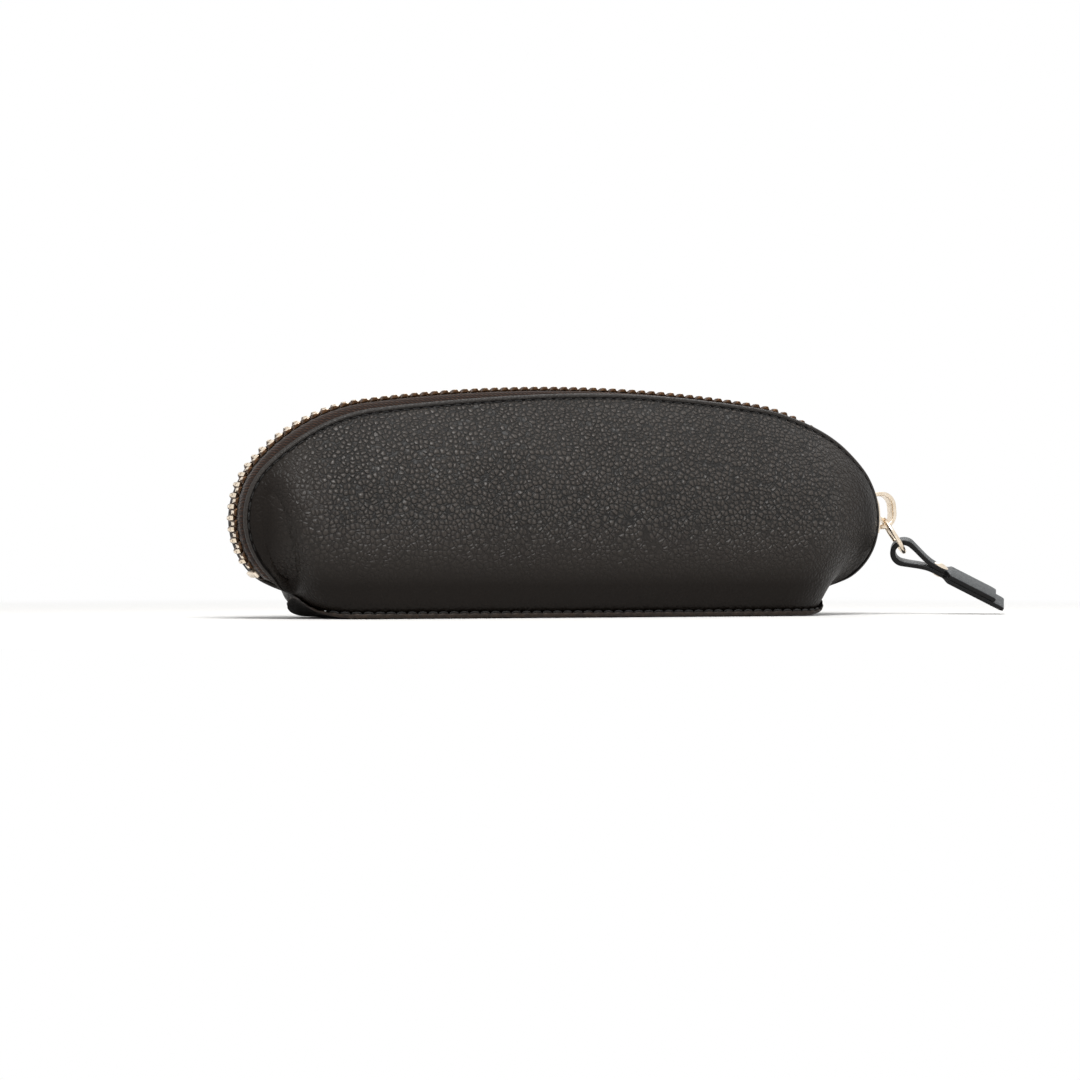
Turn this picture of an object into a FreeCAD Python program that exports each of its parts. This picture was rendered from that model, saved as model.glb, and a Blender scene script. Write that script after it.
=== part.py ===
import FreeCAD, Part
import math
import os
import re

import Sketcher
from FreeCAD import Matrix, Placement, Vector

# A soft half-moon pen case: two leather panels sewn to a flat base and closed by a zip over the arched top.
# X runs along the case, -Y is the front, Z is up, and the origin is the middle of the base's underside.
# Lengths are millimetres and angles are degrees.

doc = FreeCAD.newDocument("pen_case")

sizes = [
    # the zip's mid-line, an arch of five arcs in the plane Y = 0
    ("zip_half_length", "87.7", "half of the arch's length"),
    ("widest_height", "25.2", "height at which the arch is longest"),
    ("end_radius", "20", "radius of the arch's ends"),
    ("end_turn", "42", "angle above level where an end meets its shoulder"),
    ("shoulder_radius", "47.5", "radius of the arch's shoulders"),
    ("shoulder_turn", "82.3", "angle above level where a shoulder meets the top"),
    ("seam_turn", "64", "angle below level where the end seams meet the base"),
    # the base
    ("foot_half_length", "71.3", "half of the length that the panels' feet enclose"),
    ("foot_half_width", "17.8", "half of the width that the panels' feet enclose"),
    ("foot_corner", "13", "corner radius of the feet's outline"),
    ("base_rim", "1.2", "how far the base stands out past the panels' feet"),
    ("base_thickness", "1.3", "leather of the base"),
    ("curl_reach", "8.3", "length of a curled end, inside the feet's outline"),
    ("curl_rise", "4.4", "height to which the base's ends curl up, at their middle"),
    ("corner_rise", "1.1", "height to which the base's ends curl up, at their corners"),
    ("curl_half_width", "10", "from the middle of an end to where its corners begin"),
    # the leather panels
    ("leather", "1.0", "thickness of the panels"),
    ("seam_gap", "0.15", "half of the gap between the panels at the end seams"),
    ("seam_lift", "0.3", "how far the panels' feet stand off the base at the end seams"),
    ("hem_gap", "6.5", "from the zip's mid-line to a hem"),
    ("hem_drop", "1.2", "how far the hems lie below the zip, over its left shoulder"),
    ("hem_slope", "45", "slope of the panels below the hem, at the middle"),
    ("hem_slope_end", "28", "slope of the panels beside the hem, at the ends"),
    ("foot_lean", "21", "lean of the panels above the foot, at the middle"),
    ("foot_lean_end", "30", "lean of the panels above the foot, at the ends"),
    # lining and stiffener
    ("lining", "0.4", "thickness of the lining cloth"),
    ("lining_below_hem", "4.5", "from a hem down to the lining's edge"),
    ("board", "1.2", "thickness of the base's stiffener"),
    ("board_inset", "3", "from the feet's outline to the stiffener's edge"),
    ("board_end_inset", "2", "from the end of the base's flat length to the stiffener's end"),
    ("layer_gap", "0.1", "air between sewn layers"),
    # the zip
    ("tape", "0.5", "thickness of the zip's tapes"),
    ("tape_edge", "1.8", "from the mid-line to a tape's inner edge"),
    ("tape_side", "0.15", "air between the slider and where a tape turns down"),
    ("tape_under_hem", "2.2", "how far a tape reaches in under its panel"),
    ("tape_gap", "0.3", "air between a tape and the leather over it"),
    ("left_zip_end", "46", "angle below level of the tapes' left ends"),
    ("right_zip_end", "18", "angle below level of the tapes' right ends"),
    ("tooth_pitch", "2.73", "from one tooth to the next in a row"),
    ("tooth_height", "1.4", "from the mid-line to a tooth's top"),
    ("tooth_reach", "2.9", "from the mid-line to a tooth's outer end"),
    ("tooth_head", "0.75", "how far a head reaches over the mid-line"),
    ("tooth_head_height", "0.9", "from the mid-line to a head's top"),
    ("tooth_head_width", "1.2", "a head's width along the zip"),
    ("tooth_foot_width", "2.1", "a tooth's width along the zip, beside the tape"),
    ("tooth_ridge", "0.7", "a tooth's width along the zip, at its top"),
    ("tooth_clearance", "0.2", "air between a tooth and the tape it holds"),
    ("stop_length", "1.7", "length of the zip's stops"),
    ("stop_gap", "0.6", "air between a stop and the tooth beside it"),
    # the slider
    ("slider_rest", "5", "angle above level where the slider's middle rests"),
    ("slider_span", "30", "angle that the slider covers"),
    ("slider_half_width", "4.2", "half of the slider's width"),
    ("slider_plate", "0.8", "thickness of the slider's plates"),
    ("slider_flange", "0.8", "thickness of the slider's flanges"),
    ("slider_clearance", "0.3", "air between the teeth and the slider"),
    ("slit_clearance", "0.35", "air between the tape and the flanges"),
    ("divider_half_width", "1.0", "half of the divider's width"),
    ("divider_span", "7", "angle that the divider covers, from the slider's lower end"),
    ("divider_gap", "1.5", "angle between the divider and the last tooth"),
    ("corner_cut", "1.4", "width of the corners cut from the slider's upper end"),
    ("corner_cut_length", "4", "length of the corners cut from the slider's upper end"),
    # the bail on the slider
    ("bail_stand", "6.15", "height of the bail over the plate"),
    ("bail_length", "9.9", "length of the bail along the slider"),
    ("bail_band", "1.1", "thickness of the bail's band"),
    ("bail_width", "3.6", "width of the bail's band"),
    ("bail_round", "4.0", "outer corner radius of the bail"),
    # the ring and the puller
    ("view_turn", "22", "turn of the ring and the puller about Z"),
    ("ring_radius", "5.3", "radius of the ring's wire line"),
    ("ring_wire", "0.6", "radius of the ring's wire"),
    ("ring_inset", "2.5", "from the bail's outer band in to the ring's wire line"),
    ("ring_lift", "1.75", "from the bail's lower leg up to the ring's wire line"),
    ("ring_hang", "57", "angle below level at which the ring hangs"),
    ("puller_hang", "27", "angle below level at which the puller hangs"),
    ("puller_roll", "15", "roll of the puller towards the front"),
    ("strap", "1.2", "thickness of the puller's leather"),
    ("loop_eye", "2.4", "inner radius of the puller's loop"),
    ("loop_close", "8", "from the loop's middle to where the strap's legs meet"),
    ("loop_half_width", "2.2", "half of the strap's width at the loop"),
    ("neck_length", "12", "from the loop's middle to where the strap widens"),
    ("neck_flare", "1.8", "length over which the strap widens"),
    ("tab_half_width", "5.5", "half of the strap's width at the tab"),
    ("upper_leg", "27", "from the loop's middle to the end of the upper leg"),
    ("leg_step", "3", "how far the lower leg reaches past the upper one"),
    ("rivet_place", "10.6", "from the loop's middle to the rivet"),
    ("rivet_post", "0.9", "radius of the rivet's post"),
    ("rivet_cap", "2.1", "radius of the rivet's caps"),
    ("rivet_cap_height", "0.6", "height of the rivet's caps"),
    ("rivet_clearance", "0.05", "air between the rivet's post and the strap"),
    # the stitches
    ("thread", "0.22", "radius of the thread"),
    ("thread_clearance", "0.06", "air between a stitch and the leather"),
    ("stitch_pitch", "2.8", "from one stitch to the next"),
    ("stitch_length", "2.0", "length of a stitch"),
    ("hem_stitch_line", "1.8", "from a hem's edge to its stitches"),
    ("base_stitch_line", "0.8", "from the panels' feet to the base's stitches"),
    ("base_stitch_turn", "50", "angle of the base's corners that its stitches follow"),
]

sheet = doc.addObject("Spreadsheet::Sheet", "Sizes")
for row, (alias, value, note) in enumerate(sizes, 1):
    sheet.set(f"A{row}", note)
    sheet.set(f"B{row}", value)
    sheet.setAlias(f"B{row}", alias)
doc.recompute()

aliases = {alias for alias, value, note in sizes}
pieces = []


def size(alias):
    return float(sheet.get(alias))


def radians(alias):
    return math.radians(size(alias))


def bound(formula):
    # a formula in the sizes' names, as an expression on the sheet
    return re.sub(r"[a-z_]+", lambda word: "Sizes." * (word[0] in aliases) + word[0], formula)


def smooth(share):
    share = min(max(share, 0.0), 1.0)
    return share * share * (3 - 2 * share)


def between(first, second, share):
    return first + (second - first) * share


def spread(first, last, count):
    return [between(first, last, i / (count - 1)) for i in range(count)]


def feature(name, shape):
    made = doc.addObject("Part::Feature", name)
    made.Label = name
    made.Shape = shape
    made.Placement = Placement()
    pieces.append(made)


def front_and_back(name, shape):
    # a piece of the back half, and its mirror image at the front
    feature("back_" + name, shape)
    feature("front_" + name, shape.mirror(Vector(0, 0, 0), Vector(0, 1, 0)))


def frame(origin, along, across, up):
    # the place whose local X, Y and Z are the three directions
    return Placement(Matrix(
        along.x, across.x, up.x, origin.x,
        along.y, across.y, up.y, origin.y,
        along.z, across.z, up.z, origin.z,
        0, 0, 0, 1,
    ))


# The zip's mid-line

def level_direction(angle):
    return Vector(math.cos(angle), 0, math.sin(angle))


end_centre = Vector(size("zip_half_length") - size("end_radius"), 0, size("widest_height"))
shoulder_step = size("shoulder_radius") - size("end_radius")
shoulder_centre = end_centre - level_direction(radians("end_turn")) * shoulder_step
shoulder_cosine = math.cos(radians("shoulder_turn"))
top_radius = shoulder_centre.x / shoulder_cosine + size("shoulder_radius")
top_step = top_radius - size("shoulder_radius")
top_centre = shoulder_centre - level_direction(radians("shoulder_turn")) * top_step
top_length = top_radius * (math.pi / 2 - radians("shoulder_turn"))
shoulder_length = size("shoulder_radius") * (radians("shoulder_turn") - radians("end_turn"))


def zip_place(angle):
    # arc length from the top of the arch to an angle, in degrees above level, on its end
    return top_length + shoulder_length + size("end_radius") * (radians("end_turn") - math.radians(angle))


half_arch = zip_place(-size("seam_turn"))
left_tape_end = -zip_place(-size("left_zip_end"))
right_tape_end = zip_place(-size("right_zip_end"))


def zip_line(place):
    # point and outward normal at an arc length from the arch's top, positive towards +X
    along = abs(place)
    if along <= top_length:
        centre, radius = top_centre, top_radius
        angle = math.pi / 2 - along / radius
    elif along <= top_length + shoulder_length:
        centre, radius = shoulder_centre, size("shoulder_radius")
        angle = radians("shoulder_turn") - (along - top_length) / radius
    else:
        centre, radius = end_centre, size("end_radius")
        angle = radians("end_turn") - (along - top_length - shoulder_length) / radius
    normal = level_direction(angle)
    point = centre + normal * radius
    if place < 0:
        point.x = -point.x
        normal.x = -normal.x
    return point, normal


def zip_frame(place):
    # a place on the mid-line with X along the zip and Z outwards
    point, normal = zip_line(place)
    across = Vector(0, 1, 0)
    return frame(point, across.cross(normal), across, normal)


def hem_offset(place):
    # from the mid-line to the hem, closing below both ends of the zip
    if place < left_tape_end:
        share = (left_tape_end - place) / (left_tape_end + half_arch)
    else:
        share = max(place - right_tape_end, 0) / (half_arch - right_tape_end)
    return between(size("hem_gap"), size("seam_gap"), share ** 2)


drop_left = (-0.85, -0.55)  # shares of the arch between which the hems go down, from the left end
drop_right = (-0.3, 0.2)  # shares of the arch between which they come up again


def hem_depth(u):
    # how far the hems lie below the zip
    down = smooth((u - drop_left[0]) / (drop_left[1] - drop_left[0]))
    again = smooth((u - drop_right[0]) / (drop_right[1] - drop_right[0]))
    return size("hem_drop") * down * (1 - again)


# The leather panels: curves that rise from the feet's outline, bulge, and come in to the hem

foot_side = size("foot_half_length") - size("foot_corner")
foot_end = size("foot_half_width") - size("foot_corner")
foot_arc = size("foot_corner") * math.pi / 2
half_foot = foot_side + foot_arc + foot_end - size("seam_gap")
flat_half_length = size("foot_half_length") - size("curl_reach")


def base_lift(x, y):
    # how far the base curls up
    past = max(abs(x) - flat_half_length, 0) / (size("curl_reach") + size("base_rim"))
    rise = between(size("curl_rise"), size("corner_rise"), smooth(abs(y) / size("curl_half_width")))
    return rise * past ** 2


def foot_line(along, out=0):
    # point and outward normal on the feet's outline, or outside it, from the back's middle to the +X end
    if along <= foot_side:
        point = Vector(along, size("foot_half_width"), 0)
        normal = Vector(0, 1, 0)
    elif along <= foot_side + foot_arc:
        angle = math.pi / 2 - (along - foot_side) / size("foot_corner")
        normal = Vector(math.cos(angle), math.sin(angle), 0)
        point = Vector(foot_side, foot_end, 0) + normal * size("foot_corner")
    else:
        point = Vector(size("foot_half_length"), size("seam_gap") + half_foot - along, 0)
        normal = Vector(1, 0, 0)
    point += normal * out
    point.z = size("base_thickness") + base_lift(point.x, point.y)
    return point, normal


foot_spread = 1.4  # how much faster the foot is used up than the hem, at the middle
foot_pull = 0.33  # share of the chord over which the lean at the foot is felt
hem_pull = 0.42  # share of the chord over which the slope at the hem is felt
end_share = 0.5  # where the middle's lean and slope begin to turn into the ends'
probe = 1e-3  # step that measures the panels' slope
seam_share = -left_tape_end / half_arch  # where the panels begin to turn into the end seams
same_way = 1  # ruled faces join borders that run the same way


def toward_end(u):
    # 0 where a panel has the middle's shape, 1 at its ends
    return smooth((abs(u) - end_share) / (1 - end_share))


def into_seam(u):
    # 0 along the zip, 1 at the end seams
    return smooth((abs(u) - seam_share) / (1 - seam_share))


def hem_fall(u, normal):
    # the direction in which a panel leaves its hem
    slope = between(radians("hem_slope"), radians("hem_slope_end"), toward_end(u))
    return Vector(0, math.cos(slope), 0) - normal * math.sin(slope)


def panel_point(u, v):
    # a point of the back panel's outer face: u from -1 to 1 along the case, v from 0 at the foot to 1 at the hem
    share = abs(u)
    hem, normal = zip_line(u * half_arch)
    hem -= normal * hem_depth(u)
    hem.y = hem_offset(u * half_arch)
    foot, outward = foot_line(half_foot * (foot_spread * share + (1 - foot_spread) * share ** 2))
    foot.z += size("layer_gap") + size("seam_lift") * into_seam(u)
    if u < 0:
        foot.x = -foot.x
        outward.x = -outward.x
    lean = between(radians("foot_lean"), radians("foot_lean_end"), toward_end(u))
    rise = outward * math.sin(lean) + Vector(0, 0, math.cos(lean))
    chord = (hem - foot).Length
    fall = hem_fall(u, normal)
    fall += ((foot - hem) / chord - fall) * into_seam(u)
    lower = foot + rise * (foot_pull * chord)
    upper = hem + fall * (hem_pull * chord)
    w = 1 - v
    return foot * w ** 3 + lower * (3 * w * w * v) + upper * (3 * w * v * v) + hem * v ** 3


def panel_normal(u, v):
    u_from, u_to = max(u - probe, -1), min(u + probe, 1)
    v_from, v_to = max(v - probe, 0), min(v + probe, 1)
    along = panel_point(u_to, v) - panel_point(u_from, v)
    up = panel_point(u, v_to) - panel_point(u, v_from)
    return up.cross(along).normalize()


def layer_point(u, v, depth):
    # a point under the panel's outer face; at the end seams the thickness lies along the seam's plane
    normal = panel_normal(u, v)
    normal.y *= 1 - into_seam(u)
    return panel_point(u, v) - normal.normalize() * depth


def chord_length(u):
    return (panel_point(u, 1) - panel_point(u, 0)).Length


def hem_share(u, down):
    # v at a distance below the hem
    return 1 - down / (3 * hem_pull * chord_length(u))


def foot_share(u, up):
    # v at a distance above the foot
    return up / (3 * foot_pull * chord_length(u))


def skin(outer, inner):
    # a closed solid between two grids of points
    faces = []
    borders = []
    for grid in (outer, inner):
        surface = Part.BSplineSurface()
        surface.interpolate(grid)
        u_first, u_last, v_first, v_last = surface.bounds()
        faces.append(surface.toShape())
        borders.append([
            surface.uIso(u_first).toShape(),
            surface.uIso(u_last).toShape(),
            surface.vIso(v_first).toShape(),
            surface.vIso(v_last).toShape(),
        ])
    for near, far in zip(*borders):
        faces.append(Part.makeRuledSurface(near, far, same_way))
    shell = Part.Shell(faces)
    shell.sewShape()
    solid = Part.Solid(shell)
    if solid.Volume < 0:
        solid.reverse()
    return solid


panel_columns = [math.sin(turn) for turn in spread(-math.pi / 2, math.pi / 2, 61)]
panel_rows = spread(0, 1, 13)


def panel_face(depth):
    return [[layer_point(u, v, depth) for v in panel_rows] for u in panel_columns]


front_and_back("panel", skin(panel_face(0), panel_face(size("leather"))))

# The zip's tapes: flat beside the teeth, then sloping down under the panels

tape_half = size("tape") / 2
tape_bend = size("slider_half_width") + size("tape_side")


def tape_section():
    # corners of a tape's cross-section: out from the mid-line, and height over it
    lip_out = size("hem_gap") - size("leather") * math.sin(radians("hem_slope")) - tape_bend
    lip_drop = size("hem_drop") + size("leather") * math.cos(radians("hem_slope"))
    lip = math.hypot(lip_out, lip_drop)
    clear = size("tape_gap") + tape_half
    slope = math.atan2(lip_drop, lip_out) + math.asin(clear / lip)
    reach = math.sqrt(lip ** 2 - clear ** 2) + size("tape_under_hem")
    corner = tape_half * math.tan(slope / 2)
    end_out, end_height = tape_bend + reach * math.cos(slope), -reach * math.sin(slope)
    turn_out, turn_height = tape_half * math.sin(slope), tape_half * math.cos(slope)
    return [
        (size("tape_edge"), tape_half),
        (tape_bend + corner, tape_half),
        (end_out + turn_out, end_height + turn_height),
        (end_out - turn_out, end_height - turn_height),
        (tape_bend - corner, -tape_half),
        (size("tape_edge"), -tape_half),
    ]


def tape_arc(centre, radius, first, last):
    # a tape's length between two angles, in degrees above level, on one of the arch's arcs
    outward = level_direction(math.radians(first))
    corners = [centre + outward * (radius + height) + Vector(0, out, 0) for out, height in tape_section()]
    face = Part.Face(Part.makePolygon(corners + corners[:1]))
    return face.revolve(centre, Vector(0, -1, 0), last - first)


def tape_arcs(lowest):
    # the +X half of a tape, from its lower end to the arch's top
    return [
        tape_arc(end_centre, size("end_radius"), -lowest, size("end_turn")),
        tape_arc(shoulder_centre, size("shoulder_radius"), size("end_turn"), size("shoulder_turn")),
        tape_arc(top_centre, top_radius, size("shoulder_turn"), 90),
    ]


right_arcs = tape_arcs(size("right_zip_end"))
left_arcs = [arc.mirror(Vector(0, 0, 0), Vector(1, 0, 0)) for arc in tape_arcs(size("left_zip_end"))]
front_and_back("zip_tape", right_arcs[0].fuse(right_arcs[1:] + left_arcs).removeSplitter())

# The lining of the two halves

lining_columns = spread(-0.88, 0.88, 41)
lining_depth = size("leather") + size("tape_gap") + size("tape") + size("layer_gap")
lining_foot = size("board") + size("lining") + size("layer_gap")


def lining_face(depth):
    grid = []
    for u in lining_columns:
        first = foot_share(u, lining_foot)
        last = hem_share(u, size("lining_below_hem"))
        grid.append([layer_point(u, v, depth) for v in spread(first, last, 11)])
    return grid


front_and_back("lining", skin(lining_face(lining_depth), lining_face(lining_depth + size("lining"))))

# Sketches for the pieces that are cut, stamped or moulded


def body_of(name):
    made = doc.addObject("PartDesign::Body", name)
    made.Label = name
    pieces.append(made)
    return made


def sketch_on(body, role, name, loops):
    # closed loops of corners (x, y), or (x, y, radius, turn) where an arc of under half a turn leaves the corner
    sketch = body.newObject("Sketcher::SketchObject", name)
    plane = next(part for part in body.Origin.OriginFeatures if part.Role == role)
    sketch.AttachmentSupport = (plane, [""])
    sketch.MapMode = "FlatFace"
    for loop in loops:
        first = sketch.GeometryCount
        spots = [Vector(*(float(sketch.evalExpression(bound(text))) for text in corner[:2]), 0) for corner in loop]
        ends = []
        for here, there, corner in zip(spots, spots[1:] + spots[:1], loop):
            if len(corner) == 2:
                sketch.addGeometry(Part.LineSegment(here, there))
                ends.append((1, 2))
                continue
            radius, turn = float(sketch.evalExpression(bound(corner[2]))), corner[3]
            chord = there - here
            height = math.sqrt(radius ** 2 - chord.Length ** 2 / 4)
            centre = (here + there) / 2 + Vector(-chord.y, chord.x, 0).normalize() * height * turn
            start, stop = (here, there) if turn > 0 else (there, here)
            angles = [math.atan2(spot.y - centre.y, spot.x - centre.x) for spot in (start, stop)]
            sketch.addGeometry(Part.ArcOfCircle(Part.Circle(centre, Vector(0, 0, 1), radius), *angles))
            ends.append((1, 2) if turn > 0 else (2, 1))
        for i, corner in enumerate(loop):
            after = (i + 1) % len(loop)
            sketch.addConstraint(Sketcher.Constraint(
                "Coincident", first + i, ends[i][1], first + after, ends[after][0]))
        for i, corner in enumerate(loop):
            for kind, value, text in (("DistanceX", spots[i].x, corner[0]), ("DistanceY", spots[i].y, corner[1])):
                rule = sketch.addConstraint(Sketcher.Constraint(kind, -1, 1, first + i, ends[i][0], value))
                sketch.setExpression(f"Constraints[{rule}]", bound(text))
            if len(corner) > 2:
                radius = float(sketch.evalExpression(bound(corner[2])))
                rule = sketch.addConstraint(Sketcher.Constraint("Radius", first + i, radius))
                sketch.setExpression(f"Constraints[{rule}]", bound(corner[2]))
    doc.recompute()
    return sketch


def pad(body, sketch, name, length):
    made = body.newObject("PartDesign::Pad", name)
    made.Profile = sketch
    made.setExpression("Length", bound(length))
    return made


def cut_through(body, sketch, name):
    made = body.newObject("PartDesign::Pocket", name)
    made.Profile = sketch
    made.SideType = "Symmetric"
    made.Type = "ThroughAll"
    return made


def turned(body, kind, sketch, name, axis):
    made = body.newObject("PartDesign::" + kind, name)
    made.Profile = sketch
    made.ReferenceAxis = (sketch, [axis])
    return made


def rounded(half_x, half_y, radius):
    # a rectangle with round corners, counter-clockwise
    corners = []
    for x, y in (("", "-"), ("", ""), ("-", ""), ("-", "-")):
        outer = (f"{x}({half_x})", f"{y}({half_y} - {radius})")
        inner = (f"{x}({half_x} - {radius})", f"{y}({half_y})")
        pair = [outer, inner] if (x == "") == (y == "") else [inner, outer]
        corners.append((*pair[0], radius, 1))
        corners.append(pair[1])
    return corners


# The base: a leather sole with curled ends, cut to an outline wider than the panels' feet

base_flat = "(foot_half_length - curl_reach)"
base_half_length = size("foot_half_length") + size("base_rim")
base_half_width = size("foot_half_width") + size("base_rim")
waste_length = base_half_length + size("base_rim")
waste_width = base_half_width + size("base_rim")


def curled_end():
    # the +X end of the base before its outline is cut
    grids = []
    for height in (size("base_thickness"), 0):
        grids.append([
            [Vector(x, y, height + base_lift(x, y)) for y in spread(-waste_width, waste_width, 31)]
            for x in spread(flat_half_length, waste_length, 11)
        ])
    return skin(*grids)


def outline_block():
    # the base's outline, as a tall block with round corners
    tall = size("base_thickness") + 2 * size("curl_rise")
    block = Part.makeBox(
        2 * base_half_length, 2 * base_half_width, 2 * tall, Vector(-base_half_length, -base_half_width, -tall))
    upright = [edge for edge in block.Edges if abs(edge.tangentAt(edge.FirstParameter).z) > 0.5]
    return block.makeFillet(size("foot_corner") + size("base_rim"), upright)


flat_sole = Part.makeBox(
    2 * flat_half_length, 2 * waste_width, size("base_thickness"), Vector(-flat_half_length, -waste_width, 0))
right_end = curled_end()
left_end = right_end.mirror(Vector(0, 0, 0), Vector(1, 0, 0))
feature("base_panel", flat_sole.fuse([right_end, left_end]).common(outline_block()))

for name, thickness, height in (
    ("base_board", "board", "base_thickness"),
    ("base_lining", "lining", "base_thickness + board"),
):
    sheet_body = body_of(name)
    sheet_sketch = sketch_on(sheet_body, "XY_Plane", name + "_outline", [rounded(
        f"({base_flat} - board_end_inset)", "(foot_half_width - board_inset)", "(foot_corner - board_inset)")])
    pad(sheet_body, sheet_sketch, name + "_sheet", thickness)
    sheet_body.setExpression("Placement.Base.z", bound(height))

# The zip's teeth: a forked foot on the tape's edge and a head that meshes with the other row

last_tooth_angle = (
    size("slider_rest") - size("slider_span") / 2 + size("divider_span") + size("divider_gap")
)
tooth_half_angle = math.degrees(size("tooth_foot_width") / 2 / size("end_radius"))
last_tooth = zip_place(last_tooth_angle + tooth_half_angle)
first_tooth = left_tape_end + size("stop_length") + size("stop_gap") + size("tooth_foot_width") / 2
slot = size("tape") / 2 + size("tooth_clearance")


def prism(corners, direction):
    # corners in order, closed and pushed along a direction
    return Part.Face(Part.makePolygon(corners + corners[:1])).extrude(direction)


def tooth_shape():
    # X along the zip, Y from the mid-line out over the tape, Z outwards
    foot, ridge, top = size("tooth_foot_width") / 2, size("tooth_ridge") / 2, size("tooth_height")
    neck, reach = size("tape_edge") - size("tooth_clearance"), size("tooth_reach")
    shoulder = size("tooth_head") + size("tooth_clearance")
    roof = [(-foot, -slot), (-ridge, -top), (ridge, -top), (foot, -slot)]
    roof += [(foot, slot), (ridge, top), (-ridge, top), (-foot, slot)]
    body = prism([Vector(x, shoulder, z) for x, z in roof], Vector(0, reach - shoulder, 0))
    mouth = Part.makeBox(2 * foot, reach - neck, 2 * slot, Vector(-foot, neck, -slot))
    half_head, tip, head_top = size("tooth_head_width") / 2, -size("tooth_head"), size("tooth_head_height")
    blade = [(tip, -head_top), (neck, -top), (neck, top), (tip, head_top)]
    head = prism([Vector(-half_head, y, z) for y, z in blade], Vector(2 * half_head, 0, 0))
    return body.cut(mouth).fuse(head).removeSplitter()


tooth = tooth_shape()
mirrored_tooth = tooth.mirror(Vector(0, 0, 0), Vector(0, 1, 0))


def placed(shape, place):
    moved = shape.copy()
    moved.Placement = zip_frame(place)
    return moved


def tooth_places(shift):
    count = int((last_tooth - first_tooth - shift) / size("tooth_pitch"))
    return [last_tooth - shift - i * size("tooth_pitch") for i in range(count + 1)]


def tooth_row(shape, places):
    return Part.makeCompound([placed(shape, place) for place in places])


front_places = tooth_places(0)
back_places = tooth_places(size("tooth_pitch") / 2)
feature("front_zip_teeth", tooth_row(mirrored_tooth, front_places))
feature("back_zip_teeth", tooth_row(tooth, back_places))

# The zip's stops, clamped on the tapes' ends


def stop_shape(inner):
    # a clamp on one tape, or on both where it starts at the mid-line
    outer, height = size("tooth_reach"), size("tooth_height")
    edge = size("tape_edge") - size("tooth_clearance")
    block = Part.makeBox(size("stop_length"), outer - inner, 2 * height, Vector(0, inner, -height))
    groove = Part.makeBox(size("stop_length"), outer - edge, 2 * slot, Vector(0, edge, -slot))
    return block.cut(groove)


def both_tapes(shape):
    return [shape, shape.mirror(Vector(0, 0, 0), Vector(0, 1, 0))]


top_stop = stop_shape(size("divider_half_width") + size("slit_clearance"))
top_stop_place = zip_place(last_tooth_angle) + size("stop_gap")
feature("zip_top_stops", Part.makeCompound([placed(half, top_stop_place) for half in both_tapes(top_stop)]))
lowest_tooth = min(front_places + back_places) - size("tooth_foot_width") / 2
bottom_stop_place = lowest_tooth - size("stop_gap") - size("stop_length")
bottom_halves = [placed(half, bottom_stop_place) for half in both_tapes(stop_shape(0))]
feature("zip_bottom_stop", bottom_halves[0].fuse(bottom_halves[1]).removeSplitter())

# The slider: two curved plates with flanges, held together by the divider.
# Its own X points out from the zip's end arc and its own Z along the zip, upwards.

channel = "(tooth_height + slider_clearance)"
slit = "(tape / 2 + slit_clearance)"
plate_top = f"(end_radius + {channel} + slider_plate)"
plate_bottom = f"(end_radius - {channel} - slider_plate)"
flange_face = "(slider_half_width - slider_flange)"
overcut = "slider_flange"

out = level_direction(radians("slider_rest"))
slider_place = frame(end_centre, out, Vector(0, 1, 0), out.cross(Vector(0, 1, 0)))

slider = body_of("slider_body")
slider_block = sketch_on(slider, "XY_Plane", "slider_block", [[
    (plate_bottom, "-slider_half_width"),
    (plate_top, "-slider_half_width"),
    (plate_top, "slider_half_width"),
    (plate_bottom, "slider_half_width"),
]])
slider_turn = turned(slider, "Revolution", slider_block, "slider_turn", "V_Axis")
slider_turn.setExpression("Angle", bound("slider_span"))
slider_turn.Midplane = True
doc.recompute()


def channel_loop(sign):
    return [
        (f"end_radius - {channel}", f"{sign}divider_half_width"),
        (f"end_radius + {channel}", f"{sign}divider_half_width"),
        (f"end_radius + {channel}", f"{sign}{flange_face}"),
        (f"end_radius + {slit}", f"{sign}{flange_face}"),
        (f"end_radius + {slit}", f"{sign}(slider_half_width + {overcut})"),
        (f"end_radius - {slit}", f"{sign}(slider_half_width + {overcut})"),
        (f"end_radius - {slit}", f"{sign}{flange_face}"),
        (f"end_radius - {channel}", f"{sign}{flange_face}"),
    ]


channels = sketch_on(slider, "XY_Plane", "slider_channels", [channel_loop(""), channel_loop("-")])
channel_cut = turned(slider, "Groove", channels, "channel_cut", "V_Axis")
channel_cut.setExpression("Angle", bound("2 * slider_span"))
channel_cut.Midplane = True
doc.recompute()

middle = sketch_on(slider, "XY_Plane", "slider_middle", [[
    (f"end_radius - {channel}", "-divider_half_width"),
    (f"end_radius + {channel}", "-divider_half_width"),
    (f"end_radius + {channel}", "divider_half_width"),
    (f"end_radius - {channel}", "divider_half_width"),
]])
middle_cut = turned(slider, "Groove", middle, "middle_cut", "V_Axis")
middle_cut.Type = "TwoAngles"
middle_cut.setExpression("Angle", bound("slider_span / 2 - divider_span"))
middle_cut.setExpression("Angle2", bound("slider_span"))
doc.recompute()

slider_end = f"({plate_top} * sin(slider_span / 2 * 1 deg))"


def corner_loop(sign):
    return [
        (f"{sign}(slider_half_width - corner_cut)", f"{slider_end}"),
        (f"{sign}(slider_half_width - corner_cut)", f"{slider_end} + corner_cut"),
        (f"{sign}(slider_half_width + corner_cut)", f"{slider_end} + corner_cut"),
        (f"{sign}(slider_half_width + corner_cut)", f"{slider_end} - corner_cut_length"),
        (f"{sign}slider_half_width", f"{slider_end} - corner_cut_length"),
    ]


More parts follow.
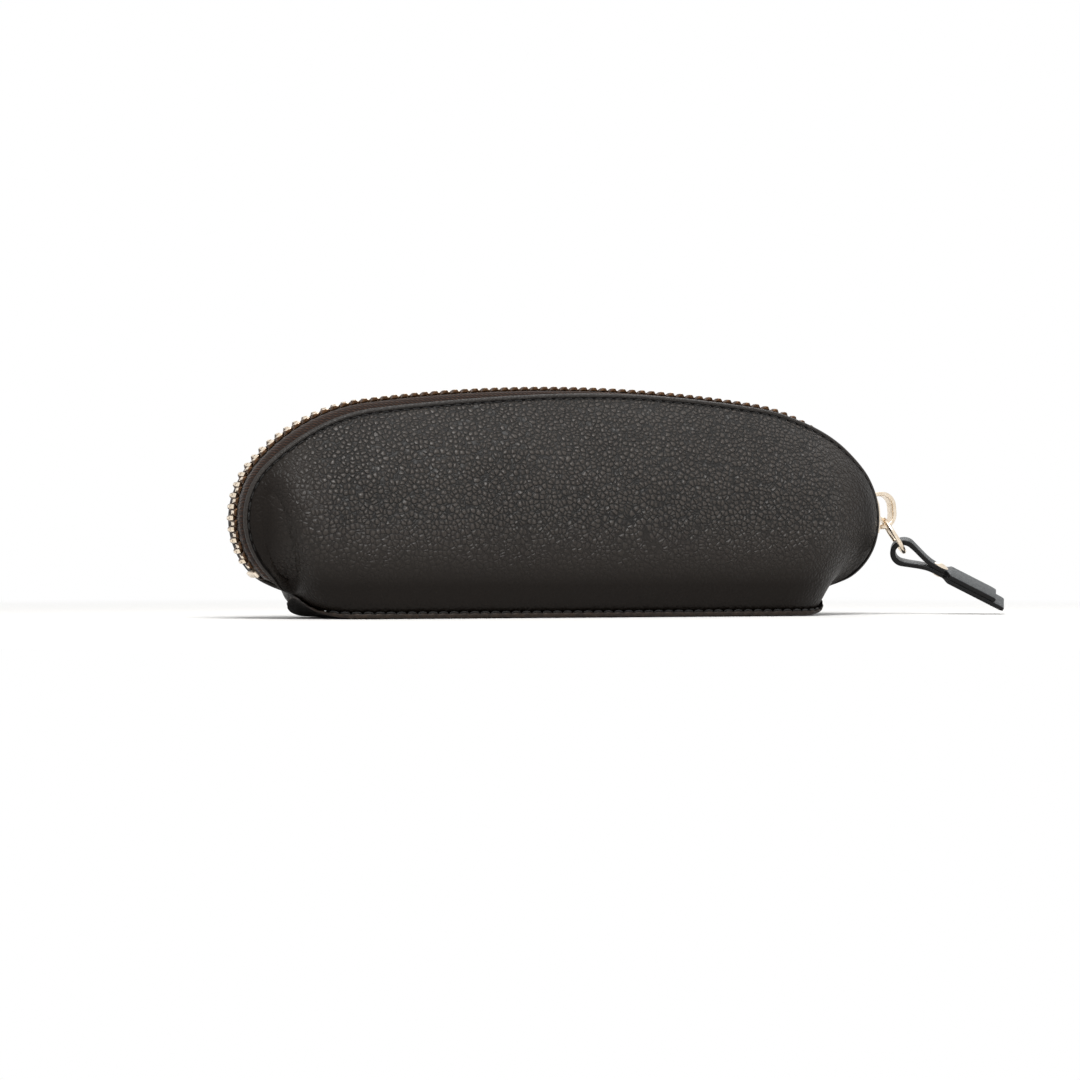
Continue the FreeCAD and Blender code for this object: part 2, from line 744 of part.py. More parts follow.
corners = sketch_on(slider, "YZ_Plane", "slider_corners", [corner_loop(""), corner_loop("-")])
cut_through(slider, corners, "corner_cut")
slider.Placement = slider_place

# The bail: a band bridging the outer plate, with feet that follow the plate's curve

bail_top = f"({plate_top} + bail_stand)"
bail_end = "(bail_length / 2)"
bail_inner_end = "(bail_length / 2 - bail_band)"
bail_inner_top = f"({bail_top} - bail_band)"
inner_round = "(bail_round - bail_band)"


def on_plate(height):
    return f"sqrt({plate_top} ^ 2 - {height} ^ 2)"


bail = body_of("slider_bail")
bail_profile = sketch_on(bail, "XZ_Plane", "bail_profile", [[
    (on_plate(bail_end), f"-{bail_end}"),
    (f"{bail_top} - bail_round", f"-{bail_end}", "bail_round", 1),
    (bail_top, f"-({bail_end} - bail_round)"),
    (bail_top, f"{bail_end} - bail_round", "bail_round", 1),
    (f"{bail_top} - bail_round", bail_end),
    (on_plate(bail_end), bail_end, plate_top, -1),
    (on_plate(bail_inner_end), bail_inner_end),
    (f"{bail_inner_top} - {inner_round}", bail_inner_end, inner_round, -1),
    (bail_inner_top, f"{bail_inner_end} - {inner_round}"),
    (bail_inner_top, f"-({bail_inner_end} - {inner_round})", inner_round, -1),
    (f"{bail_inner_top} - {inner_round}", f"-{bail_inner_end}"),
    (on_plate(bail_inner_end), f"-{bail_inner_end}", plate_top, -1),
]])
pad(bail, bail_profile, "bail_band", "bail_width").SideType = "Symmetric"
bail.Placement = slider_place

# The ring hangs in the bail's lower corner, turned about Z

view_right = Vector(math.cos(radians("view_turn")), -math.sin(radians("view_turn")), 0)
view_deep = Vector(math.sin(radians("view_turn")), math.cos(radians("view_turn")), 0)


def hanging(alias):
    # a direction below level, across the ring's axis
    return view_right * math.cos(radians(alias)) - Vector(0, 0, math.sin(radians(alias)))


channel_height = size("tooth_height") + size("slider_clearance")
bail_inside = size("end_radius") + channel_height + size("slider_plate") + size("bail_stand") - size("bail_band")
ring_hook = slider_place.multVec(Vector(
    bail_inside - size("ring_inset"),
    0,
    size("bail_band") + size("ring_lift") - size("bail_length") / 2,
))
ring_along = hanging("ring_hang")
ring_end = ring_hook + ring_along * (2 * size("ring_radius"))

ring = doc.addObject("Part::Torus", "pull_ring")
ring.Label = "pull_ring"
ring.setExpression("Radius1", bound("ring_radius"))
ring.setExpression("Radius2", bound("ring_wire"))
ring.Placement = frame(
    ring_hook + ring_along * size("ring_radius"), ring_along, view_deep, ring_along.cross(view_deep))
pieces.append(ring)

# The puller: one strap folded round the ring, its own X along the strap, its own Z out of the upper leg

strap_along = hanging("puller_hang")
strap_up = strap_along.cross(view_deep)
roll = radians("puller_roll")
strap_across = view_deep * math.cos(roll) + strap_up * math.sin(roll)
puller_place = frame(ring_end, strap_along, strap_across, strap_along.cross(strap_across))

loop_outer = "(loop_eye + strap)"
loop_angle = f"(atan2(strap; loop_close) + acos({loop_outer} / sqrt(loop_close ^ 2 + strap ^ 2)))"

puller = body_of("puller_strap")
strap_profile = sketch_on(puller, "XZ_Plane", "strap_profile", [
    [
        ("upper_leg", "strap"),
        ("loop_close", "strap"),
        (f"{loop_outer} * cos{loop_angle}", f"{loop_outer} * sin{loop_angle}", loop_outer, 1),
        (f"-{loop_outer}", "0", loop_outer, 1),
        (f"{loop_outer} * cos{loop_angle}", f"-{loop_outer} * sin{loop_angle}"),
        ("loop_close", "-strap"),
        ("upper_leg + leg_step", "-strap"),
        ("upper_leg + leg_step", "0"),
        ("upper_leg", "0"),
    ],
    [
        (f"loop_eye / cos{loop_angle}", "0"),
        (f"loop_eye * cos{loop_angle}", f"loop_eye * sin{loop_angle}", "loop_eye", 1),
        ("-loop_eye", "0", "loop_eye", 1),
        (f"loop_eye * cos{loop_angle}", f"-loop_eye * sin{loop_angle}"),
    ],
])
pad(puller, strap_profile, "strap_fold", "2 * tab_half_width").SideType = "Symmetric"
doc.recompute()


def neck_loop(sign):
    return [
        (f"-2 * {loop_outer}", f"{sign}loop_half_width"),
        ("neck_length", f"{sign}loop_half_width"),
        ("neck_length + neck_flare", f"{sign}tab_half_width"),
        ("neck_length + neck_flare", f"{sign}(tab_half_width + strap)"),
        (f"-2 * {loop_outer}", f"{sign}(tab_half_width + strap)"),
    ]


neck = sketch_on(puller, "XY_Plane", "strap_neck", [neck_loop(""), neck_loop("-")])
cut_through(puller, neck, "neck_cut")
doc.recompute()
hole = "(rivet_post + rivet_clearance)"
rivet_hole = sketch_on(puller, "XY_Plane", "strap_hole", [[
    (f"rivet_place + {hole}", "0", hole, 1),
    ("rivet_place", hole, hole, 1),
    (f"rivet_place - {hole}", "0", hole, 1),
    ("rivet_place", f"-{hole}", hole, 1),
]])
cut_through(puller, rivet_hole, "hole_cut")
puller.Placement = puller_place

# The rivet through the puller's neck

cap_dome = "((rivet_cap ^ 2 + rivet_cap_height ^ 2) / (2 * rivet_cap_height))"
rivet = body_of("puller_rivet")
rivet_profile = sketch_on(rivet, "XZ_Plane", "rivet_profile", [[
    ("0", "strap + rivet_cap_height"),
    ("0", "-(strap + rivet_cap_height)", cap_dome, 1),
    ("rivet_cap", "-strap"),
    ("rivet_post", "-strap"),
    ("rivet_post", "strap"),
    ("rivet_cap", "strap", cap_dome, 1),
]])
turned(rivet, "Revolution", rivet_profile, "rivet_turn", "V_Axis")
rivet.Placement = puller_place.multiply(Placement(Vector(size("rivet_place"), 0, 0), FreeCAD.Rotation()))

# The stitches, each a short length of thread on the leather


def stitch(start, stop):
    middle_point, along = (start + stop) / 2, (stop - start).normalize()
    half = along * (size("stitch_length") / 2)
    return Part.makeCylinder(size("thread"), size("stitch_length"), middle_point - half, along)


thread_lift = size("thread") + size("thread_clearance")
half_stitch = size("stitch_length") / 2


def hem_spot(place):
    u = place / half_arch
    v = hem_share(u, size("hem_stitch_line"))
    return panel_point(u, v) + panel_normal(u, v) * thread_lift


def rim_spot(along):
    # a place on the base's rim, from the back's middle along the outline, either way
    point, normal = foot_line(abs(along), size("base_stitch_line"))
    point.z += thread_lift
    if along < 0:
        point.x = -point.x
    return point


def stitches(spot, first, last):
    count = int((last - first) / size("stitch_pitch"))
    start = (first + last - count * size("stitch_pitch")) / 2
    places = [start + (i + 0.5) * size("stitch_pitch") for i in range(count)]
    return [stitch(spot(place - half_stitch), spot(place + half_stitch)) for place in places]


first_stitch = left_tape_end + 2 * size("stitch_pitch")
front_and_back("hem_thread", Part.makeCompound(stitches(hem_spot, first_stitch, right_tape_end)))
rim_end = foot_side + size("foot_corner") * radians("base_stitch_turn")
back_rim = Part.makeCompound(stitches(rim_spot, -rim_end, rim_end))
front_rim = back_rim.mirror(Vector(0, 0, 0), Vector(0, 1, 0))
feature("base_seam_thread", Part.makeCompound(back_rim.Solids + front_rim.Solids))

# Every piece is tested, then written

doc.recompute()
for made in doc.Objects:
    if "Invalid" in made.State or "Error" in made.State:
        raise RuntimeError(f"{made.Label} failed: {made.State}")
for piece in pieces:
    if piece.Shape.isNull() or not piece.Shape.isValid():
        raise RuntimeError(f"{piece.Label} has no valid shape")

os.makedirs("parts", exist_ok=True)
for piece in pieces:
    piece.Shape.exportStep(f"parts/{piece.Label}.step")
    print(piece.Label, len(piece.Shape.Solids), round(piece.Shape.Volume, 2))
print("slider axis", end_centre, "ring axis", ring_hook, view_deep, "puller axis", ring_end)
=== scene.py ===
import math

import bmesh
import bpy
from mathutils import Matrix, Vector, noise


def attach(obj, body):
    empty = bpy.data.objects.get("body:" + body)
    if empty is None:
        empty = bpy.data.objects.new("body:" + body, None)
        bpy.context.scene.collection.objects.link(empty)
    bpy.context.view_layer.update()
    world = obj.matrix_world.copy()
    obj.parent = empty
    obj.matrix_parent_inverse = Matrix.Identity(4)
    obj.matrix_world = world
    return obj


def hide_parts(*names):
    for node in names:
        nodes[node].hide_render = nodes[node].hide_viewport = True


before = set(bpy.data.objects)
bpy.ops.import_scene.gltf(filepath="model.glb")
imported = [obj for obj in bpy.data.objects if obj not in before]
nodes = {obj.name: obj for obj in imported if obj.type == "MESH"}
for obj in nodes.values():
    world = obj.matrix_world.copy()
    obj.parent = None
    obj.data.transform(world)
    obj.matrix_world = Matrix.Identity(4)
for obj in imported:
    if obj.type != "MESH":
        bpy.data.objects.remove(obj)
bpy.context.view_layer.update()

mm = 0.001  # every shape below is worked out in millimetres and made in metres
scene = bpy.context.scene
up = Vector((0, 0, 1))


def linear(text):
    # sRGB hex to linear RGBA
    parts = [int(text[i:i + 2], 16) / 255 for i in (1, 3, 5)]
    return [p / 12.92 if p <= 0.04045 else ((p + 0.055) / 1.055) ** 2.4 for p in parts] + [1.0]


def smooth(share):
    share = min(max(share, 0.0), 1.0)
    return share * share * (3 - 2 * share)


def between(first, second, share):
    return first + (second - first) * share


def spread(first, last, count):
    return [between(first, last, i / (count - 1)) for i in range(count)]


def hump(distance, width):
    # 1 in the middle, falling off over a width
    return math.exp(-(distance / width) ** 2)


# camera: level, a little left of the middle of the case, turned to see the front and the left end
view = {"turn": 22.4, "distance": 1081, "height": 19.5, "left": 5.1, "lens": 140}
turn = math.radians(view["turn"])
ahead = Vector((math.sin(turn), math.cos(turn), 0))
right = Vector((math.cos(turn), -math.sin(turn), 0))
cameraData = bpy.data.cameras.new("camera")
cameraData.lens = view["lens"]
cameraData.sensor_width = 36
cameraData.clip_start = 0.01
camera = bpy.data.objects.new("camera", cameraData)
scene.collection.objects.link(camera)
camera.location = (up * view["height"] - ahead * view["distance"] - right * view["left"]) * mm
camera.rotation_euler = ahead.to_track_quat("-Z", "Y").to_euler()
scene.camera = camera
scene.view_settings.view_transform = "Standard"
print("camera set")


# materials
def setNode(tree, node, values, links):
    # a link comes from a socket, or from a node's first output
    for key, value in values.items():
        node.inputs[key].default_value = value
    for key, source in links.items():
        socket = source.outputs[0] if isinstance(source, bpy.types.Node) else source
        tree.links.new(socket, node.inputs[key])


def addNode(tree, kind, values=None, links=None, stops=None, **settings):
    node = tree.nodes.new("ShaderNode" + kind)
    for key, value in settings.items():
        setattr(node, key, value)
    if stops:
        for element, (place, colour) in zip(node.color_ramp.elements, stops):
            element.position = place
            element.color = linear(colour)
    setNode(tree, node, values or {}, links or {})
    return node


def newMaterial(name):
    material = bpy.data.materials.new(name)
    material.use_nodes = True
    tree = material.node_tree
    place = addNode(tree, "TexCoord").outputs["Object"]
    return material, tree, tree.nodes["Principled BSDF"], place


tautEnds = {"from": 68, "to": 82}  # along the case, where the leather is pulled tight round its ends and its colour turns to a painted shade


def leather(name, grain):
    # full-grain calf: soft domed pebbles with shallow valleys that are painted darker as shade, pores and a
    # waxy satin shine, flatter and duller where it is pulled tight, and there its colour turns to a darker
    # painted shade
    material, tree, shader, place = newMaterial(name)
    pebble = grain["pebble"] * mm
    drift = addNode(tree, "TexNoise", {"Scale": 1 / (2.2 * pebble), "Detail": 1.0}, {"Vector": place})
    pushed = addNode(tree, "VectorMath", {"Scale": 0.6 * pebble}, {0: drift.outputs["Color"]},
                     operation="SCALE")
    bent = addNode(tree, "VectorMath", links={0: place, 1: pushed}, operation="ADD")
    cells = {"Scale": 1 / pebble, "Randomness": 0.9}
    edges = addNode(tree, "TexVoronoi", cells, {"Vector": bent}, feature="DISTANCE_TO_EDGE")
    middles = addNode(tree, "TexVoronoi", cells, {"Vector": bent}, feature="F1")
    valley = addNode(tree, "MapRange", {2: 0.3}, {0: edges}, interpolation_type="SMOOTHSTEP")
    crown = addNode(tree, "MapRange", {2: 0.8, 3: 1.0, 4: 0.0}, {0: middles})
    dome = addNode(tree, "Math", {1: 0.65}, {0: crown, 2: valley}, operation="MULTIPLY_ADD")
    pores = addNode(tree, "TexNoise", {"Scale": 1 / (0.3 * mm), "Detail": 2.0}, {"Vector": place})
    patch = addNode(tree, "TexNoise", {"Scale": 1 / (14 * mm), "Detail": 2.0}, {"Vector": place})
    reach = addNode(tree, "MapRange", {1: 0.3, 2: 0.7, 3: grain["weak"], 4: grain["strong"]}, {0: patch})
    spot = addNode(tree, "SeparateXYZ", links={0: place}).outputs
    length = addNode(tree, "Math", links={0: spot["X"]}, operation="ABSOLUTE")
    # tight low on the case and round its ends: there the pebbles flatten, and the colour turns to a darker
    # painted shade
    byHeight = addNode(tree, "MapRange", {1: grain["tightBelow"] * mm, 2: grain["slackAbove"] * mm,
                                          3: grain["tight"], 4: 1.0}, {0: spot["Z"]})
    byLength = addNode(tree, "MapRange", {1: tautEnds["from"] * mm, 2: tautEnds["to"] * mm,
                                          3: 1.0, 4: grain["tight"]}, {0: length})
    slack = addNode(tree, "Math", links={0: byHeight, 1: byLength}, operation="MINIMUM")
    loose = addNode(tree, "Math", links={0: reach, 1: slack}, operation="MULTIPLY")
    tall = addNode(tree, "Math", links={0: dome, 1: loose}, operation="MULTIPLY")
    relief = addNode(tree, "Math", {1: grain["pores"]}, {0: pores, 2: tall}, operation="MULTIPLY_ADD")
    bump = addNode(tree, "Bump", {"Strength": 1.0, "Distance": grain["depth"] * mm}, {"Height": relief})
    # the pebbles' valleys are painted darker, as shade
    hollow = addNode(tree, "MapRange", {1: 0.2, 2: 1.05, 3: 1.0, 4: 0.0}, {0: dome})
    shade = addNode(tree, "Math", links={0: hollow, 1: slack}, operation="MULTIPLY")
    # where the leather is tight, a darker colour is painted on as shade and the gloss drops
    tightAndShaded = addNode(tree, "MapRange", {1: grain["tight"], 2: 1.01, 3: 1.0, 4: 0.0}, {0: slack})
    colours = [(0.0, grain["top"]), (1.0, grain["valleyShade"])]
    shadedGrain = addNode(tree, "ValToRGB", links={0: shade}, stops=colours)
    paintedShade = linear(grain.get("paintedShade", grain["top"]))
    tint = addNode(tree, "Mix", {7: paintedShade}, {0: tightAndShaded, 6: shadedGrain}, data_type="RGBA").outputs[2]
    rough = addNode(tree, "MapRange", {3: grain["rough"], 4: grain["rough"] + 0.12}, {0: shade})
    setNode(tree, shader, {"IOR": 1.5, "Specular IOR Level": grain["shine"]},
            {"Base Color": tint, "Roughness": rough, "Normal": bump})
    if "tautShine" in grain:
        gloss = addNode(tree, "MapRange", {3: grain["shine"], 4: grain["tautShine"]}, {0: tightAndShaded})
        setNode(tree, shader, {}, {"Specular IOR Level": gloss})
    return material


def edgePaint(name, paint):
    # brushed-on paint: a matt skin with soft drips, and what lies below showing through where it is thin
    material, tree, shader, place = newMaterial(name)
    drips = addNode(tree, "TexNoise", {"Scale": 1 / (1.2 * mm), "Detail": 3.0}, {"Vector": place})
    bump = addNode(tree, "Bump", {"Strength": 0.7, "Distance": 0.08 * mm}, {"Height": drips})
    rough = addNode(tree, "MapRange", {1: 0.3, 2: 0.7, 3: paint["rough"] + 0.12, 4: paint["rough"]},
                    {0: drips})
    tint = addNode(tree, "ValToRGB", links={0: drips}, stops=[(0.3, paint["thin"]), (0.65, paint["full"])])
    setNode(tree, shader, {"IOR": 1.5, "Specular IOR Level": 0.2},
            {"Base Color": tint, "Roughness": rough, "Normal": bump})
    return material


def platedMetal(name, plate):
    # plate on die-cast and stamped metal: mirror-like, dulled by rubbing marks,
    # which are drawn coarser than real ones so that they show
    material, tree, shader, place = newMaterial(name)
    marks = {"Scale": 1 / (0.7 * mm), "Detail": 4.0, "Distortion": 0.8}
    rub = addNode(tree, "TexNoise", marks, {"Vector": place})
    bump = addNode(tree, "Bump", {"Strength": 0.15, "Distance": 0.02 * mm}, {"Height": rub})
    rough = addNode(tree, "MapRange", {1: 0.3, 2: 0.7, 3: plate["rough"] + 0.1, 4: plate["rough"]},
                    {0: rub})
    tint = addNode(tree, "ValToRGB", links={0: rub}, stops=[(0.3, plate["rubbed"]), (0.6, plate["bright"])])
    setNode(tree, shader, {"Metallic": 1.0}, {"Base Color": tint, "Roughness": rough, "Normal": bump})
    return material


def woven(name, cloth):
    # woven cloth: over-and-under yarns, fuzzy, with no shine but a little sheen
    material, tree, shader, place = newMaterial(name)
    scale = 1 / (cloth["yarn"] * mm) / 20 * 2 * math.pi  # a wave's bands repeat every 2 pi / 20
    bands = {"Scale": scale, "Distortion": 1.5, "Detail": 1.0, "Detail Scale": 1.0}
    tilted = addNode(tree, "Mapping", {"Rotation": (0.4, 0.9, 1.1)}, {"Vector": place})
    warp = addNode(tree, "TexWave", bands, {"Vector": place}, bands_direction="DIAGONAL").outputs["Fac"]
    weft = addNode(tree, "TexWave", bands, {"Vector": tilted}, bands_direction="DIAGONAL").outputs["Fac"]
    yarns = addNode(tree, "Math", links={0: warp, 1: weft}, operation="MULTIPLY")
    fuzz = addNode(tree, "TexNoise", {"Scale": 1 / (0.25 * mm), "Detail": 3.0}, {"Vector": place})
    height = addNode(tree, "Math", {1: 0.4}, {0: fuzz, 2: yarns}, operation="MULTIPLY_ADD")
    bump = addNode(tree, "Bump", {"Strength": 1.0, "Distance": cloth["depth"] * mm}, {"Height": height})
    tint = addNode(tree, "ValToRGB", links={0: height}, stops=[(0.2, cloth["deep"]), (0.9, cloth["face"])])
    setNode(tree, shader, {"Roughness": 0.85, "IOR": 1.5, "Specular IOR Level": 0.3, "Sheen Weight": 0.2,
                           "Sheen Roughness": 0.5}, {"Base Color": tint, "Normal": bump})
    return material


evenGrain = {"weak": 0.6, "strong": 1.0, "tightBelow": 0, "slackAbove": 1, "tight": 0.9}
# the panel leather gets painted shade in its valleys, and a darker painted shade near its foot and round
# its ends
pebbledCalf = leather("pebbledCalfSatin", {
    "pebble": 1.25, "depth": 0.34, "weak": 0.75, "strong": 1.15, "tightBelow": 8, "slackAbove": 25,
    "tight": 0.15, "pores": 0.1, "rough": 0.38, "shine": 0.28, "valleyShade": "#0c0a08", "top": "#3b3632",
    "paintedShade": "#191512", "tautShine": 0.1})
hemCalf = leather("turnedEdgeCalfSatin", {
    **evenGrain, "pebble": 0.9, "depth": 0.06, "pores": 0.25, "rough": 0.42, "shine": 0.24,
    "valleyShade": "#191613", "top": "#2a2623"})
# near-black leather laid in the hem's stitch groove as painted shade
grooveShadeCalf = leather("stitchedGroovePaintedShade", {
    **evenGrain, "pebble": 0.9, "depth": 0.06, "pores": 0.25, "rough": 0.6, "shine": 0.06,
    "valleyShade": "#060505", "top": "#0c0a09"})
smoothCalf = leather("smoothCalfSole", {
    **evenGrain, "pebble": 0.8, "depth": 0.05, "pores": 0.3, "rough": 0.5, "shine": 0.12,
    "valleyShade": "#0e0b09", "top": "#161210"})
strapCalf = leather("fineGrainCalfStrap", {
    **evenGrain, "pebble": 0.75, "depth": 0.07, "pores": 0.3, "rough": 0.32, "shine": 0.28,
    "valleyShade": "#0d1112", "top": "#1a2023"})
soleEdge = edgePaint("brownEdgePaintMatt", {"thin": "#17110d", "full": "#2a2018", "rough": 0.5})
strapEdge = edgePaint("blackEdgePaintSatin", {"thin": "#100d0c", "full": "#0b0d0f", "rough": 0.36})
# pressed board has a skin as soft, matt and uneven as the paint's
greyBoard = edgePaint("pressedBoardMatt", {"thin": "#6b6259", "full": "#857b70", "rough": 0.8})
paleGold = platedMetal("paleGoldPlatePolished", {"bright": "#eee0cd", "rubbed": "#dac8b0", "rough": 0.2})
toothMetal = platedMetal("paleGoldTeethPolished", {"bright": "#f1e4d2", "rubbed": "#d8c5aa", "rough": 0.26})
# a brown copy of the teeth's pale gold plate, laid on their sides as painted shade
toothSideShade = platedMetal("brownTeethSidesPaintedShade", {"bright": "#5b4330", "rubbed": "#33251a", "rough": 0.4})
zipTwill = woven("brownPolyesterTwillWoven", {
    "yarn": 0.6, "depth": 0.12, "deep": "#190f09", "face": "#361f10"})
liningDrill = woven("blackCottonDrillWoven", {
    "yarn": 0.5, "depth": 0.08, "deep": "#1a1817", "face": "#3a3634"})
# the thread's twisted plies show as fine bands
waxedThread = woven("blackWaxedThreadTwisted", {
    "yarn": 0.35, "depth": 0.05, "deep": "#080706", "face": "#14110f"})
print("materials made")


# meshes
def finishPiece(name, mesh, body, replaced, sharp):
    mesh.shade_smooth()
    mesh.set_sharp_from_angle(angle=math.radians(sharp))
    piece = bpy.data.objects.new(name, mesh)
    scene.collection.objects.link(piece)
    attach(piece, body)
    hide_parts(*replaced)
    return piece


def addPiece(name, points, faces, materials, body, replaced, side=1, kinds=None, sharp=40):
    # side -1 mirrors the piece from the back to the front, kinds choose each face's material
    mesh = bpy.data.meshes.new(name)
    mesh.from_pydata([(p.x * mm, p.y * side * mm, p.z * mm) for p in points], [], faces)
    for material in materials:
        mesh.materials.append(material)
    if kinds:
        mesh.polygons.foreach_set("material_index", kinds)
    cleaned = bmesh.new()
    cleaned.from_mesh(mesh)
    bmesh.ops.remove_doubles(cleaned, verts=cleaned.verts, dist=1e-6)
    bmesh.ops.recalc_face_normals(cleaned, faces=cleaned.faces)
    cleaned.to_mesh(mesh)
    cleaned.free()
    return finishPiece(name, mesh, body, replaced, sharp)


def stripFaces(columns, rows, closedRows=False, closedColumns=False):
    # quads of a grid whose points run column by column
    faces = []
    for i in range(columns if closedColumns else columns - 1):
        for j in range(rows if closedRows else rows - 1):
            here, there = i * rows, (i + 1) % columns * rows
            after = (j + 1) % rows
            faces.append((here + j, here + after, there + after, there + j))
    return faces


def directionAt(line, i):
    # which way a line of (across, up) points runs at one of them
    before, after = line[max(i - 1, 0)], line[min(i + 1, len(line) - 1)]
    return Vector((after[0] - before[0], after[1] - before[1])).normalized()


# the zip's mid-line: an arch of five arcs in the plane y = 0
arch = {"halfLength": 87.7, "widest": 25.2, "endRadius": 20, "endTurn": 42, "shoulderRadius": 47.5,
        "shoulderTurn": 82.3, "seamTurn": 64}


def level(angle):
    # a direction in the plane of the arch
    return Vector((math.cos(angle), 0, math.sin(angle)))


endTurn = math.radians(arch["endTurn"])
shoulderTurn = math.radians(arch["shoulderTurn"])
endCentre = Vector((arch["halfLength"] - arch["endRadius"], 0, arch["widest"]))
shoulderCentre = endCentre - level(endTurn) * (arch["shoulderRadius"] - arch["endRadius"])
topRadius = shoulderCentre.x / math.cos(shoulderTurn) + arch["shoulderRadius"]
topCentre = shoulderCentre - level(shoulderTurn) * (topRadius - arch["shoulderRadius"])
topLength = topRadius * (math.pi / 2 - shoulderTurn)
shoulderLength = arch["shoulderRadius"] * (shoulderTurn - endTurn)


def zipPlace(angle):
    # run along the right half of the arch, at an angle of its end arc
    return topLength + shoulderLength + arch["endRadius"] * (endTurn - math.radians(angle))


halfArch = zipPlace(-arch["seamTurn"])


def zipLine(place):
    along = abs(place)
    if along <= topLength:
        centre, radius, angle = topCentre, topRadius, math.pi / 2 - along / topRadius
    elif along <= topLength + shoulderLength:
        centre, radius = shoulderCentre, arch["shoulderRadius"]
        angle = shoulderTurn - (along - topLength) / radius
    else:
        centre, radius = endCentre, arch["endRadius"]
        angle = endTurn - (along - topLength - shoulderLength) / radius
    normal = level(angle)
    point = centre + normal * radius
    if place < 0:
        point.x, normal.x = -point.x, -normal.x
    return point, normal


# leftEnd, rightEnd and tailEnd are degrees below level on the arch's end arcs
zipper = {"leftEnd": 46, "rightEnd": 18, "pitch": 2.73, "tape": 0.5, "tapeEdge": 1.8, "edgeRound": 0.6,
          "tapeGap": 0.3, "tapeBend": 4.35, "bendEase": 0.4, "tapeUnder": 2.2, "tailEnd": 61,
          "tailDip": 1.2, "dipOver": 0.3, "steps": 9, "columns": 320, "leftColumns": 12, "rightColumns": 20}
leftTapeEnd = -zipPlace(-zipper["leftEnd"])
rightTapeEnd = zipPlace(-zipper["rightEnd"])
seamShare = -leftTapeEnd / halfArch

# the leather panels, the base that they stand on, and what their soft leather does
panel = {"footHalfLength": 71.3, "footHalfWidth": 17.8, "footCorner": 16, "leather": 1.0, "seamGap": 0.15,
         "footSink": 0.05, "hemGap": 6.5, "hemSlope": 45, "hemSlopeEnd": 28, "footLean": 21,
         "footLeanEnd": 30, "footSpread": 1.4, "footPull": 0.33, "hemPull": 0.42, "endShare": 0.5,
         "footTuck": 0.35, "tuckOver": 0.5, "stillFrom": 0.93, "columns": 420, "crowding": 0.4, "rows": 60}
base = {"rim": 1.2, "thickness": 1.3, "flat": 63, "curlReach": 8.3, "curlRise": 4.4, "cornerRise": 1.6,
        "curlHalfWidth": 14, "thinning": 0.5, "scallop": 2.8, "scallopPull": 0.1, "scallopDip": 0.12,
        "inside": 1.4, "rings": (0.0, 0.25, 0.5, 0.75, 0.9), "quarter": 220, "painted": (7, 10)}
hem = {"drop": 1.2, "dropFrom": -0.85, "dropOver": 0.3, "dropUntil": -0.3, "dropFade": 0.5,
       "raise": 0.8, "raiseFrom": 0.5, "raiseOver": 0.15, "endRoll": 0.9, "rollUntil": -0.62,
       "rollOver": 0.12, "band": 3.4, "rows": 28, "turnRows": 7, "puff": 0.3, "puffOver": 0.8,
       "puffUntil": 1.1, "puffFade": 0.6, "line": 1.8, "grooveDepth": 0.42, "grooveWide": 0.4,
       "shadedGrooveHalf": 0.3, "pucker": 0.25}
# each wave has its share, length, height and a number that tells it from the other
sag = {"depth": 0.45, "fromHem": 2, "hemFade": 9, "footFade": 7, "calmFrom": 0.8,
       "waves": ((1.0, 34, 21, 3.1), (0.5, 15, 13, 7.7))}
fold = {"x": -83.5, "z": 26, "tilt": 0.3, "depth": 3.0, "width": 4.2, "ridge": 1.0, "ridgeAway": 8,
        "ridgeWidth": 4.0, "fromHem": 2, "hemFade": 8, "footFade": 4}


def intoSeam(u):
    # 0 along the zip, 1 at the end seams
    return smooth((abs(u) - seamShare) / (1 - seamShare))


def hemOffset(place):
    # how far the hem lies from the mid-line: closing on the end seams, rolled in a little at the left end
    if place < leftTapeEnd:
        share = (leftTapeEnd - place) / (leftTapeEnd + halfArch)
    else:
        share = max(place - rightTapeEnd, 0) / (halfArch - rightTapeEnd)
    rolled = hem["endRoll"] * smooth((hem["rollUntil"] - place / halfArch) / hem["rollOver"])
    return between(panel["hemGap"] - rolled, panel["seamGap"], share ** 2)


def hemDepth(u):
    # how far the hem lies below the zip over its left shoulder, and above it towards the slider
    begun = smooth((u - hem["dropFrom"]) / hem["dropOver"])
    ended = smooth((u - hem["dropUntil"]) / hem["dropFade"])
    raised = smooth((u - hem["raiseFrom"]) / hem["raiseOver"]) * (1 - intoSeam(u))
    return hem["drop"] * begun * (1 - ended) - hem["raise"] * raised


footSide = panel["footHalfLength"] - panel["footCorner"]
footEnd = panel["footHalfWidth"] - panel["footCorner"]
footArc = panel["footCorner"] * math.pi / 2
halfFoot = footSide + footArc + footEnd - panel["seamGap"]


def baseLift(x, y):
    # the base's ends curl up, most at their middle
    past = max(abs(x) - base["flat"], 0) / (base["curlReach"] + base["rim"])
    return between(base["curlRise"], base["cornerRise"], smooth(abs(y) / base["curlHalfWidth"])) * past ** 2


def footLine(along, out=0):
    # a quarter of the base's outline, on top of it, from the middle of its side to the middle of its end
    if along <= footSide:
        point, normal = Vector((along, panel["footHalfWidth"], 0)), Vector((0, 1, 0))
    elif along <= footSide + footArc:
        angle = math.pi / 2 - (along - footSide) / panel["footCorner"]
        normal = Vector((math.cos(angle), math.sin(angle), 0))
        point = Vector((footSide, footEnd, 0)) + normal * panel["footCorner"]
    else:
        point = Vector((panel["footHalfLength"], panel["seamGap"] + halfFoot - along, 0))
        normal = Vector((1, 0, 0))
    point += normal * out
    point.z = base["thickness"] + baseLift(point.x, point.y)
    return point, normal


